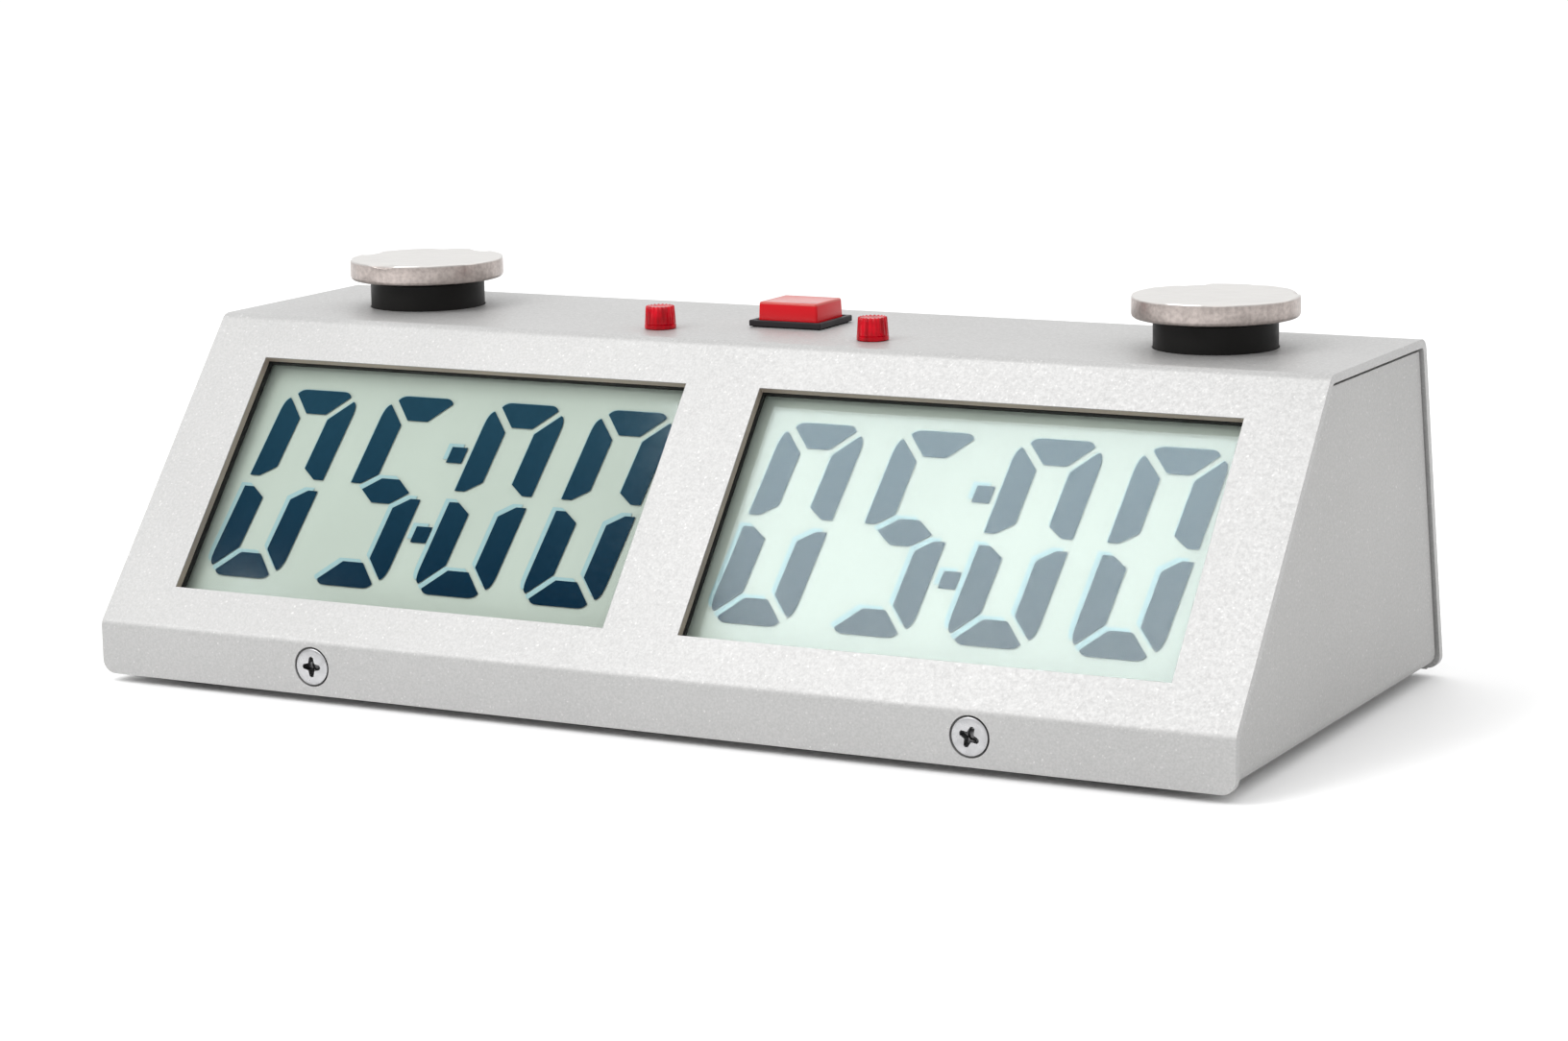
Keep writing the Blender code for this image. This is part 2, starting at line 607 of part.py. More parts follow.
def make_select_button(looks):
    """The centre push-button: a snap-in housing with a sprung cap and plunger."""
    axis = frame("select_button_axis", at(0, SELECT_Y, TOP))
    half_x, half_y = (side / 2 for side in SELECT_BODY)
    bottom = -0.0170
    housing = node("select_housing", [oblong(half_x, half_y, bottom, SELECT_FLANGE_HIGH - 0.0004)],
                   looks["black"], axis)
    flange = oblong(SELECT_FLANGE[0] / 2, SELECT_FLANGE[1] / 2, FINE_GAP, SELECT_FLANGE_HIGH)
    latch = [(half_y - 0.0005, -0.0019), (half_y + 0.0009, -0.0019), (half_y - 0.0005, -0.0060)]
    wedges = [prism(latch, "X", -0.003, 0.003, Matrix.Rotation(turn, 4, "Z")) for turn in (0.0, math.pi)]
    join(housing, [flange] + wedges, axis)
    cut(housing, [oblong(0.0062, 0.0053, -0.0060, 0.003), oblong(0.0061, 0.0052, -0.02, -0.0077)], axis)
    cut(housing, [square(0.0047, -0.009, -0.005)], axis)

    cap_low = -0.0035
    cap = bmesh.new()
    rings = []
    sections = ((cap_low, *SELECT_CAP), (0.0010, *SELECT_CAP),
                (SELECT_CAP_HIGH, *SELECT_CAP_TOP))
    for height, size_x, size_y in sections:
        corners = ((-1, -1), (1, -1), (1, 1), (-1, 1))
        rings.append([cap.verts.new((sx * size_x / 2, sy * size_y / 2, height)) for sx, sy in corners])
    for lower, upper in zip(rings, rings[1:]):
        for index in range(4):
            after = (index + 1) % 4
            cap.faces.new((lower[index], lower[after], upper[after], upper[index]))
    cap.faces.new(rings[0][::-1])
    cap.faces.new(rings[-1])
    upright = [edge for edge in cap.edges if abs(edge.verts[0].co.z - edge.verts[1].co.z) > 1e-4]
    upper = [edge for edge in cap.edges if all(abs(vert.co.z - SELECT_CAP_HIGH) < 1e-6
                                               for vert in edge.verts)]
    bmesh.ops.bevel(cap, geom=upright + upper, offset=0.0006, segments=3, profile=0.5, affect="EDGES")
    button = node("select_cap", [settle(cap, Matrix())], looks["red"], axis, smooth=True)
    cut(button, [square(0.0046, cap_low - 0.001, 0.0008)], axis)

    plunger = node("select_plunger", [square(0.0044, -0.0085, 0.0005)], looks["white"], axis)
    join(plunger, [oblong(0.0058, 0.0049, -0.0095, -0.0080)], axis)
    cut(plunger, [turned([(0, -0.011), (0.0036, -0.011), (0.0036, -0.0020), (0, -0.0020)], 16)], axis)
    wire_radius = 0.00035
    base_top = bottom - GAP
    wire("select_spring", [helix(0.0029, base_top + GAP + wire_radius, -0.0020 - GAP - wire_radius, 6,
                                 8)],
         wire_radius, looks["spring"], axis)
    base = node("select_base", [oblong(half_x, half_y, base_top - 0.0020, base_top)], looks["black"], axis)
    join(base, [block((x - 0.001, -0.00025, base_top - 0.0068), (x + 0.001, 0.00025, base_top - 0.0010))
                for x in (-0.0035, 0.0035)], axis)


def make_lamps(looks):
    """Each turn lamp: a red lens pressed through the top sheet, and the LED inside it."""
    places = {"left": at(-LAMP_X, LAMP_Y, TOP), "right": at(LAMP_X, LAMP_Y, TOP)}
    step = 0.0010
    lens = [(0, 0.0022), (0.0018, 0.0022), (0.0018, -0.0060), (0.0023, -0.0060), (0.0023, FINE_GAP),
            (LAMP_RADIUS, FINE_GAP), (LAMP_RADIUS, step), (LAMP_RADIUS - 0.00023, step + 0.0002),
            (LAMP_RADIUS - 0.00023, LAMP_HIGH - 0.0002), (LAMP_RADIUS - 0.0004, LAMP_HIGH),
            (0, LAMP_HIGH)]
    led = [(0, -0.0075), (0.0019, -0.0075), (0.0019, -0.0065), (0.0015, -0.0065), (0.0015, -0.0015),
           (0.0012, -0.0006), (0.0006, -0.0001), (0, 0)]
    for name, place in places.items():
        node("lamp_lens_" + name, [turned(lens, 24, place)], looks["lens"], smooth=True)
        node("led_" + name, [turned(led, 12, place)], looks["lens"], smooth=True)


# Batteries
def make_batteries(looks):
    """Three cells side by side in a holder that stands over the tray's opening, and the door under it."""
    low = DOOR_PIVOT[1] + DOOR_THICK / 2 + GAP
    half_x, half_y = HOLDER_HALF
    holder = node("battery_holder", [block((-half_x, CELL_Y - half_y, low),
                                           (half_x, CELL_Y + half_y, HOLDER_TOP))],
                  looks["black"])
    pivot_y, pivot_z = DOOR_PIVOT
    lugs = [block((side * 0.0303 - 0.0014, pivot_y - 0.0023, 0.0017),
                  (side * 0.0303 + 0.0014, pivot_y + 0.0022, 0.0090))
             for side in (-1, 1)]
    lugs += [block((side * 0.0310 - 0.0025, CELL_Y - 0.0080, TRAY_FLOOR + GAP),
                   (side * 0.0310 + 0.0025, CELL_Y + 0.0200, TRAY_FLOOR + 0.0030)) for side in (-1, 1)]
    join(holder, lugs)
    inner_x, inner_y = half_x - HOLDER_WALL, half_y - HOLDER_WALL
    holes = [block((-inner_x, CELL_Y - inner_y, 0.0),
                   (inner_x, CELL_Y + inner_y, HOLDER_TOP - HOLDER_WALL))]
    for side in (-1, 1):
        turn = Matrix.Rotation(math.radians(90) * side, 4, "Y")
        holes.append(turned([(0, -0.001), (0.0011, -0.001), (0.0011, 0.0022), (0, 0.0022)], 12,
                            at(side * 0.0292, pivot_y, pivot_z) @ turn))
    cut(holder, holes)

    cell = [(0, -0.0246), (0.0060, -0.0246), (CELL_RADIUS, -0.0240), (CELL_RADIUS, 0.0235),
            (0.0062, 0.0240),
            (0.0027, 0.0240), (0.0027, 0.0252), (0, 0.0252)]
    for index, name in zip((-1, 0, 1), ("front", "middle", "rear")):
        side = -1 if index == 0 else 1
        along = Matrix.Rotation(math.radians(90) * side, 4, "Y")
        node("battery_cell_" + name, [turned(cell, 24, at(-side * 0.0003, CELL_Y + index * CELL_PITCH,
                                                          CELL_Z) @ along)],
             looks["cell"], smooth=True)
    make_door(looks)


def make_door(looks):
    """The battery door, with trunnions on its front edge and a springy catch at its rear."""
    pivot_y, pivot_z = DOOR_PIVOT
    hinge = frame("battery_door_axis", at(0, pivot_y, pivot_z))
    half = DOOR_THICK / 2
    reach = DOOR_REAR - pivot_y
    nose = [(half * math.cos(angle), half * math.sin(angle))
            for angle in [math.radians(90 + 30 * step) for step in range(7)]]
    outline = nose + [(reach - 0.0004, -half), (reach, -half + 0.0004), (reach, half)]
    door = node("battery_door", [prism(outline, "X", -DOOR_HALF_WIDTH, DOOR_HALF_WIDTH)], looks["black"],
                hinge)
    pin = [(0, -DOOR_HALF_WIDTH - 0.0025), (TRUNNION_RADIUS, -DOOR_HALF_WIDTH - 0.0025),
           (TRUNNION_RADIUS, DOOR_HALF_WIDTH + 0.0025), (0, DOOR_HALF_WIDTH + 0.0025)]
    join(door, [turned(pin, 12, Matrix.Rotation(math.radians(90), 4, "Y"))], hinge)
    slits = [block((x - 0.0004, reach - 0.0100, -0.004), (x + 0.0004, reach + 0.001, 0.004))
             for x in (-0.007, 0.007)]
    grip = [block((-0.0055, reach - 0.0028 - 0.0016 * step, -0.004),
                  (0.0055, reach - 0.0020 - 0.0016 * step, -half + 0.0005))
            for step in range(3)]
    cut(door, slits + grip, hinge)


# Power switch
def make_power_switch(looks, wall):
    """A slide switch on the back wall: its body inside, its knob through a slot."""
    place = frame("power_switch_place", wall.matrix_world @ at(SWITCH_X, SWITCH_UP))
    body = node("power_switch_body", [block((-0.0100, -0.0040, -0.0100), (0.0100, 0.0040, -0.0018))],
                looks["black"],
                place)
    half_slot = (0.0046 + SWITCH_TRAVEL) / 2 + 0.0004
    cut(body, [block((-half_slot, -0.0025, -0.0060), (half_slot, 0.0025, 0.0))], place)
    slide = frame("power_switch_axis", wall.matrix_world @ at(SWITCH_X + SWITCH_TRAVEL / 2, SWITCH_UP))
    node("power_switch_knob", [block((-0.0023, -0.0022, -0.0055), (0.0023, 0.0022, 0.0024),
                                     rounding=0.0004)],
         looks["black"], slide)


# Wiring
def ribbon(route, across):
    """A flat cable along a route, its width held along one direction."""
    piece = bmesh.new()
    across = Vector(across).normalized()
    rings = []
    for index, point in enumerate(route):
        before, after = route[max(index - 1, 0)], route[min(index + 1, len(route) - 1)]
        way = (Vector(after) - Vector(before)).normalized()
        thick = way.cross(across).normalized() * CABLE_THICK / 2
        wide = across * CABLE_WIDTH / 2
        rings.append([piece.verts.new(Vector(point) + corner)
                      for corner in (wide + thick, thick - wide, -wide - thick, wide - thick)])
    for first, second in zip(rings, rings[1:]):
        for index in range(4):
            after = (index + 1) % 4
            piece.faces.new((first[index], first[after], second[after], second[index]))
    piece.faces.new(rings[0][::-1])
    piece.faces.new(rings[-1])
    return settle(piece, Matrix())


def make_wiring(looks, slope):
    """Flat cables from the button boards and the batteries to the main board's back."""
    def board_end(x, s, away):
        return slope.matrix_world @ Vector((x, s, -PART_DEPTH - away))

    low = TOP + BUTTON_BOARD_TOP - 0.0016 - GAP
    for side, name in ((-1, "left"), (1, "right")):
        x = side * PLAYER_X
        route = [(x, PLAYER_Y, low), (x, PLAYER_Y, low - 0.0035), (x, PLAYER_Y - 0.0080, low - 0.0085),
                 board_end(x, CABLE_ENDS[0], 0.0060), board_end(x, CABLE_ENDS[0], 0.0)]
        node("button_cable_" + name, [ribbon(smooth_route(route, 3), (1, 0, 0))], looks["wire"],
             smooth=True)
    front = CELL_Y - HOLDER_HALF[1] - GAP
    route = [(0.0120, front, 0.0160), (0.0120, front - 0.0020, 0.0165),
             board_end(0.0120, CABLE_ENDS[1], 0.0040),
             board_end(0.0120, CABLE_ENDS[1], 0.0)]
    node("battery_cable", [ribbon(smooth_route(route, 3), (1, 0, 0))], looks["wire"], smooth=True)


def main():
    clear_scene()
    looks = make_looks()
    slope = frame("front_panel", at(0, FRONT, STAND + LIP_HEIGHT) @ Matrix.Rotation(SLOPE_ANGLE, 4, "X"))
    wall = frame("back_wall", at(0, BACK, STAND) @ Matrix.Rotation(math.pi, 4, "Z")
                 @ Matrix.Rotation(math.pi / 2 - WALL_LEAN, 4, "X"))
    make_cover(looks, slope, wall)
    make_tray(looks, wall)
    make_cover_screws(looks, wall)
    make_feet(looks)
    make_display(looks, slope, -1, "left")
    make_display(looks, slope, 1, "right")
    make_display_connectors(looks, slope)
    make_board(looks, slope)
    make_components(looks, slope)
    make_player_button(looks, -1, "left")
    make_player_button(looks, 1, "right")
    make_select_button(looks)
    make_lamps(looks)
    make_batteries(looks)
    make_power_switch(looks, wall)
    make_wiring(looks, slope)


main()
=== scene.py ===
"""Looks of the chess clock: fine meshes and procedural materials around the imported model, in metres."""

import math
import random

import bmesh
import bpy
from mathutils import Matrix, Vector


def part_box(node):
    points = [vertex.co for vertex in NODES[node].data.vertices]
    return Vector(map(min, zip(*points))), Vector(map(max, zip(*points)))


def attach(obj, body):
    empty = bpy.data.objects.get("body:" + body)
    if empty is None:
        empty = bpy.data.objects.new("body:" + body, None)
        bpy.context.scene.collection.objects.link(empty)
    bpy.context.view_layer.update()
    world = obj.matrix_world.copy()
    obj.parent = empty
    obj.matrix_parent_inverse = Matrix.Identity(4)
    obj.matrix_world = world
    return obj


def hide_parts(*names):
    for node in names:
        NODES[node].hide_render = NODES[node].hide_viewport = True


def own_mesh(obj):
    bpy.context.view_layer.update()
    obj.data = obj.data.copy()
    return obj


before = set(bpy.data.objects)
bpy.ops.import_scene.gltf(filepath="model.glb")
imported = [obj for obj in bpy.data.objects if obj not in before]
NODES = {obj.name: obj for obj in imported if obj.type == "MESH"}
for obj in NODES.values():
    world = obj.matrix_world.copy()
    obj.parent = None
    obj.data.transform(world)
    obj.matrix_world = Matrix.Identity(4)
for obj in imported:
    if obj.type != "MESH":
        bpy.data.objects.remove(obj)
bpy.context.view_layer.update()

# Measures shared with the case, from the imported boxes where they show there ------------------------
COVER_LOW, COVER_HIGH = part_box("cover")
HALF_WIDTH = COVER_HIGH[0]
FRONT, BACK, TOP = COVER_LOW[1], COVER_HIGH[1], COVER_HIGH[2]
STAND = 0.0015
SHEET = 0.0015
LIP_TOP = STAND + 0.0092
BEND_FRONT = FRONT + 0.0409
BEND_BACK = FRONT + 0.0863
BEND_RADIUS = 0.0025
SLOPE_ANGLE = math.atan2(TOP - LIP_TOP, BEND_FRONT - FRONT)
WALL_LEAN = math.atan2(BACK - BEND_BACK, TOP - STAND)
CORNER_RADIUS = 0.0025

WINDOW_X = 0.0512
WINDOW_HALF = (0.0440, 0.02385)
WINDOW_MIDDLE = 0.03215
PLAYER_X, PLAYER_Y = 0.07865, 0.0157
COLLAR_RADIUS = 0.01055
DISC_RADIUS = 0.0142
LAMP_X, LAMP_Y = 0.0210, 0.0022
SELECT_Y = 0.0155
SCREW_X, SCREW_Z = 0.0629, 0.0065
REAR_SCREW_UP = 0.0065
SWITCH_X, SWITCH_UP = 0.0600, 0.0300

# Heights above the top face. A pair of heights is where one colour turns into another; on the disc and
# the cap, into a painted sheen on the top face ------
DISC_LOW, DISC_HIGH = 0.0051, 0.00885
# the disc's top face is painted brighter above this span: painted sheen
DISC_SHEEN_SPAN = (0.0084, 0.0087)
COLLAR_HIGH = 0.0048
LAMP_HIGH = 0.0041
CAP_LOW, CAP_HIGH = -0.0035, 0.0045
# the cap's top face is painted paler above this span: painted sheen
CAP_SHEEN_SPAN = (0.0039, 0.0042)
INK_SPAN = (0.018, 0.050)  # above the table

# Sizes of the finer pieces -------------------------------------------------------------------------
CUT_REACH = 0.004  # how far a cutter stands out on each side of the sheet
COLLAR_CLEARANCE = 0.00012
LAMP_HOLE = 0.0026
SELECT_OPENING = (0.00675, 0.00585)
SELECT_HOLLOW = 0.0046
SCREW_HEAD, SCREW_SHANK, SCREW_LENGTH = 0.00318, 0.0017, 0.0080
SWITCH_OPENING = (0.0047, 0.0026)

CAMERA_PLACE = (0.32418, -0.59501, 0.15535)
CAMERA_ANGLES = (28.27, 10.624, -1.088)  # azimuth, elevation and roll in degrees
CAMERA_LENS = 90.33

PANEL = Matrix.Translation((0, FRONT, LIP_TOP)) @ Matrix.Rotation(SLOPE_ANGLE, 4, "X")
WALL = (Matrix.Translation((0, BACK, STAND)) @ Matrix.Rotation(math.pi, 4, "Z")
        @ Matrix.Rotation(math.pi / 2 - WALL_LEAN, 4, "X"))


# Camera, lights and floor --------------------------------------------------------------------------
def make_camera():
    azimuth, elevation, roll = (math.radians(angle) for angle in CAMERA_ANGLES)
    back = Vector((math.sin(azimuth) * math.cos(elevation), -math.cos(azimuth) * math.cos(elevation),
                   math.sin(elevation)))
    level = Vector((0, 0, 1)).cross(back).normalized()
    upright = back.cross(level)
    right = level * math.cos(roll) + upright * math.sin(roll)
    up = upright * math.cos(roll) - level * math.sin(roll)
    data = bpy.data.cameras.new("camera")
    data.sensor_width = 36.0
    data.lens = CAMERA_LENS
    data.clip_start = 0.01
    camera = bpy.data.objects.new("camera", data)
    place = Matrix((right, up, back)).transposed().to_4x4()
    place.translation = CAMERA_PLACE
    camera.matrix_world = place
    bpy.context.scene.collection.objects.link(camera)
    bpy.context.scene.camera = camera


def area_light(name, place, target, size, power):
    data = bpy.data.lights.new(name, "AREA")
    data.shape = "RECTANGLE"
    data.size, data.size_y = size
    data.energy = power
    light = bpy.data.objects.new(name, data)
    light.location = place
    light.rotation_euler = (Vector(target) - Vector(place)).to_track_quat("-Z", "Y").to_euler()
    bpy.context.scene.collection.objects.link(light)


def graded(tree, vector, direction, stops):
    """A grey level that depends on how far vector points along direction."""
    dot = tree.nodes.new("ShaderNodeVectorMath")
    dot.operation = "DOT_PRODUCT"
    dot.inputs[1].default_value = Vector(direction).normalized()
    tree.links.new(vector, dot.inputs[0])
    ramp = tree.nodes.new("ShaderNodeMapRange")
    ramp.interpolation_type = "SMOOTHSTEP"
    tree.links.new(dot.outputs["Value"], ramp.inputs["Value"])
    for socket, value in zip(("From Min", "From Max", "To Min", "To Max"), stops):
        ramp.inputs[socket].default_value = value
    return ramp.outputs["Result"]


def make_studio():
    """A white tent, brighter overhead and behind, with one dark gap that the left display mirrors."""
    world = bpy.data.worlds.new("studio")
    bpy.context.scene.world = world
    world.use_nodes = True
    tree = world.node_tree
    background = tree.nodes["Background"]
    background.inputs["Color"].default_value = (1.0, 1.0, 1.0, 1.0)
    vector = tree.nodes.new("ShaderNodeTexCoord").outputs["Generated"]
    level = graded(tree, vector, (0, 0, 1), (0.0, 1.0, 0.90, 1.45))
    for other in (graded(tree, vector, (0, 1, 0), (-0.25, 0.70, 0.80, 1.10)),
                  graded(tree, vector, (-0.555, -0.333, 0.765), (0.955, 0.992, 1.0, 0.02))):
        product = tree.nodes.new("ShaderNodeMath")
        product.operation = "MULTIPLY"
        tree.links.new(level, product.inputs[0])
        tree.links.new(other, product.inputs[1])
        level = product.outputs["Value"]
    tree.links.new(level, background.inputs["Strength"])
    area_light("overhead", (-0.440, -0.500, 1.115), (-0.440, -0.500, 0.0), (0.43, 0.40), 4.25)
    area_light("front", (-0.57, -0.93, 0.87), (0.0, -0.03, 0.035), (1.0, 0.5), 6.5)
    bpy.ops.mesh.primitive_plane_add(size=60, location=(0, 0, 0))
    floor = bpy.context.object
    floor.name = "floor"
    floor.data.materials.append(floor_material())
    bpy.context.scene.view_settings.view_transform = "Standard"


# Materials -----------------------------------------------------------------------------------------
class Look:
    """A procedural material on one Principled shader, in the case's own coordinates."""

    def __init__(self, name, color, roughness, metallic=0.0, **constants):
        self.material = bpy.data.materials.new(name)
        self.material.use_nodes = True
        self.tree = self.material.node_tree
        self.shader = self.tree.nodes["Principled BSDF"]
        self.color = (*color, 1.0)
        self.shader.inputs["Base Color"].default_value = self.color
        self.shader.inputs["Roughness"].default_value = roughness
        self.shader.inputs["Metallic"].default_value = metallic
        for socket, value in constants.items():
            self.shader.inputs[socket.replace("_", " ")].default_value = value
        self.place = self.node("ShaderNodeTexCoord").outputs["Object"]

    def node(self, kind, **settings):
        made = self.tree.nodes.new(kind)
        for key, value in settings.items():
            setattr(made, key, value)
        return made

    def link(self, source, target):
        self.tree.links.new(source, target)
        return target

    def stretch(self, scale, rotation=(0, 0, 0)):
        mapping = self.node("ShaderNodeMapping")
        self.link(self.place, mapping.inputs["Vector"])
        mapping.inputs["Scale"].default_value = scale
        mapping.inputs["Rotation"].default_value = rotation
        return mapping.outputs["Vector"]

    def noise(self, scale, detail=3.0, vector=None, roughness=0.5):
        made = self.node("ShaderNodeTexNoise")
        self.link(vector or self.place, made.inputs["Vector"])
        made.inputs["Scale"].default_value = scale
        made.inputs["Detail"].default_value = detail
        made.inputs["Roughness"].default_value = roughness
        return made.outputs["Fac"]

    def box(self, place, low, high):
        """1 inside a box given in a frame of the case, 0 outside it."""
        mapping = self.node("ShaderNodeMapping", vector_type="TEXTURE")
        self.link(self.place, mapping.inputs["Vector"])
        mapping.inputs["Location"].default_value = place.translation
        mapping.inputs["Rotation"].default_value = place.to_euler()
        middle = (Vector(low) + Vector(high)) / 2
        half = (Vector(high) - Vector(low)) / 2
        split = self.node("ShaderNodeSeparateXYZ")
        self.link(mapping.outputs["Vector"], split.inputs["Vector"])
        inside = 1.0
        for axis in range(3):
            test = self.node("ShaderNodeMath", operation="COMPARE")
            self.link(split.outputs[axis], test.inputs[0])
            test.inputs[1].default_value = middle[axis]
            test.inputs[2].default_value = half[axis]
            both = self.node("ShaderNodeMath", operation="MULTIPLY")
            self.link(test.outputs["Value"], both.inputs[0])
            if axis:
                self.link(inside, both.inputs[1])
            else:
                both.inputs[1].default_value = inside
            inside = both.outputs["Value"]
        return inside

    def rise(self, low, high):
        """0 below the height low, 1 above the height high, and even between them."""
        split = self.node("ShaderNodeSeparateXYZ")
        self.link(self.place, split.inputs["Vector"])
        made = self.node("ShaderNodeMapRange")
        self.link(split.outputs["Z"], made.inputs["Value"])
        made.inputs["From Min"].default_value = low
        made.inputs["From Max"].default_value = high
        return made.outputs["Result"]

    def cells(self, scale, output="Color"):
        made = self.node("ShaderNodeTexVoronoi")
        self.link(self.place, made.inputs["Vector"])
        made.inputs["Scale"].default_value = scale
        return made.outputs[output]

    def ramp(self, source, low, high, start=0.0, end=1.0):
        made = self.node("ShaderNodeValToRGB")
        self.link(source, made.inputs["Fac"])
        first, last = made.color_ramp.elements
        first.position, last.position = start, end
        first.color = (low, low, low, 1) if isinstance(low, float) else (*low, 1)
        last.color = (high, high, high, 1) if isinstance(high, float) else (*high, 1)
        return made.outputs["Color"]

    def blend(self, factor, first, second, mode="MIX"):
        made = self.node("ShaderNodeMix", data_type="RGBA", blend_type=mode)
        sockets = (made.inputs["Factor"], made.inputs[6], made.inputs[7])
        for value, socket in zip((factor, first, second), sockets):
            if isinstance(value, bpy.types.NodeSocket):
                self.link(value, socket)
            elif isinstance(value, tuple):
                socket.default_value = (*value[:3], 1.0)
            else:
                socket.default_value = value
        return made.outputs[2]

    def paint(self, source):
        self.link(source, self.shader.inputs["Base Color"])

    def rough(self, source, low, high, start=0.3, end=0.7):
        self.link(self.ramp(source, low, high, start, end), self.shader.inputs["Roughness"])

    def bump(self, source, strength, distance):
        made = self.node("ShaderNodeBump")
        made.inputs["Strength"].default_value = strength
        made.inputs["Distance"].default_value = distance
        self.link(source, made.inputs["Height"])
        last = self.shader.inputs["Normal"]
        if last.is_linked:
            self.link(last.links[0].from_socket, made.inputs["Normal"])
        self.link(made.outputs["Normal"], last)


def tint(color, factor):
    return tuple(min(1.0, part * factor) for part in color)


def floor_material():
    look = Look("floor_white", (0.9, 0.9, 0.9), 0.7)
    look.paint(look.ramp(look.noise(3.0), 0.92, 0.95))
    return look.material


def powder_coat(name, color, metallic, roughness, cut_edge=None):
    """Silver powder coat: orange peel, a fine grain and single bright flakes."""
    look = Look(name, color, roughness, metallic)
    grain = look.ramp(look.noise(2600.0, 2.0), tint(color, 0.92), tint(color, 1.06), 0.32, 0.68)
    cloud = look.ramp(look.noise(45.0, 4.0), 0.965, 1.0, 0.35, 0.65)
    body = look.blend(1.0, grain, cloud, "MULTIPLY")
    flakes = look.ramp(look.cells(3400.0), 0.0, 0.22, 0.86, 0.95)
    coat = look.blend(flakes, body, (0.95, 0.94, 0.92))
    if cut_edge:
        inside = look.box(PANEL, (-0.1, 0.006, -0.00146), (0.1, 0.059, -0.00016))
        coat = look.blend(inside, coat, cut_edge)
    look.paint(coat)
    look.rough(look.noise(1500.0, 2.0), roughness - 0.05, roughness + 0.06)
    look.bump(look.noise(750.0, 2.0), 0.25, 0.00010)
    look.bump(look.noise(2600.0, 2.0), 0.20, 0.00003)
    return look.material


def turned_metal(name, face, rim, roughness):
    """Turned satin nickel: the top face painted brighter and the rim darker and warmer as a painted
    reflection, with pits, streaks and fine rings.
    """
    look = Look(name, face, roughness, 1.0)
    up = look.rise(TOP + DISC_SHEEN_SPAN[0], TOP + DISC_SHEEN_SPAN[1])
    pits = look.ramp(look.noise(1500.0, 3.0), tint(rim, 0.85), tint(rim, 1.13), 0.32, 0.66)
    # painted reflection: bright face colour above the span, darker and warmer rim colour with pits below
    # it
    base = look.blend(up, pits, face)
    cloud = look.ramp(look.noise(160.0, 5.0), 0.95, 1.0, 0.3, 0.7)
    streaks = look.ramp(look.noise(1.0, 3.0, look.stretch((500, 500, 30))), 0.88, 1.0, 0.35, 0.6)
    worn = look.blend(1.0, cloud, look.blend(up, streaks, (1.0, 1.0, 1.0)), "MULTIPLY")
    look.paint(look.blend(1.0, base, worn, "MULTIPLY"))
    look.rough(look.noise(420.0, 4.0), roughness - 0.04, roughness + 0.07)
    look.bump(look.noise(1.0, 2.0, look.stretch((1300, 1300, 200))), 0.12, 0.00003)
    return look.material


def steel(name, color=(0.72, 0.72, 0.73), roughness=0.28, recess_shade=()):
    """Bare steel, with painted shade inside the given boxes, deep in the cross recesses of the heads."""
    look = Look(name, color, roughness, 1.0)
    face = look.ramp(look.noise(500.0, 4.0), tint(color, 0.8), tint(color, 1.06), 0.3, 0.7)
    for place, low, high in recess_shade:
        # painted shade: the steel is darker inside each box, where the cross recess lies
        face = look.blend(look.box(place, low, high), face, tint(color, 0.36))
    look.paint(face)
    look.rough(look.noise(900.0, 3.0), roughness - 0.08, roughness + 0.12)
    look.bump(look.noise(1800.0, 2.0), 0.12, 0.00003)
    return look.material


def plastic(name, color, roughness, grain=2200.0, depth=0.12, wear=0.12, **constants):
    """Moulded plastic with a fine spark texture and slightly uneven gloss."""
    look = Look(name, color, roughness, 0.0, **constants)
    darker, lighter = tint(color, 1.0 - wear), tint(color, 1.0 + wear)
    look.paint(look.ramp(look.noise(120.0, 4.0), darker, lighter, 0.3, 0.7))
    look.rough(look.noise(300.0, 4.0), roughness - 0.06, roughness + 0.08)
    look.bump(look.noise(grain, 2.0), depth, 0.00004)
    return look.material


def rubber(name, color=(0.02, 0.02, 0.021)):
    look = Look(name, color, 0.75)
    look.paint(look.ramp(look.noise(200.0, 4.0), tint(color, 0.8), tint(color, 1.8), 0.35, 0.75))
    look.rough(look.noise(700.0), 0.68, 0.85)
    look.bump(look.noise(1600.0, 3.0), 0.3, 0.00006)
    return look.material


def red_cap(name, side, face):
    """Glossy red plastic, with the top face painted paler as a painted sheen."""
    look = Look(name, side, 0.35, Coat_Weight=0.75, Coat_Roughness=0.12, Coat_IOR=1.36,
                Specular_IOR_Level=0.03)
    up = look.rise(TOP + CAP_SHEEN_SPAN[0], TOP + CAP_SHEEN_SPAN[1])
    cloud = look.ramp(look.noise(120.0, 4.0), 0.94, 1.0, 0.3, 0.7)
    # painted sheen: the top face above the span takes the paler colour
    look.paint(look.blend(1.0, look.blend(up, side, face), cloud, "MULTIPLY"))
    look.rough(look.noise(300.0, 4.0), 0.29, 0.43)
    look.bump(look.noise(1200.0, 2.0), 0.05, 0.00004)
    return look.material


def red_lens(name):
    """Clear red styrene, lit a little by its own depth of colour."""
    look = Look(name, (0.62, 0.0, 0.010), 0.18, 0.0, Transmission_Weight=0.45, IOR=1.4,
                Specular_IOR_Level=0.15)
    deep = look.ramp(look.noise(500.0, 3.0), (0.62, 0.0, 0.010), (0.88, 0.0, 0.018), 0.3, 0.7)
    bands = look.ramp(look.noise(1.0, 1.0, look.stretch((900, 900, 20))), 0.62, 1.0, 0.35, 0.55)
    look.paint(look.blend(1.0, deep, bands, "MULTIPLY"))
    look.rough(look.noise(800.0), 0.08, 0.20)
    look.bump(look.noise(900.0, 2.0), 0.05, 0.00003)
    return look.material


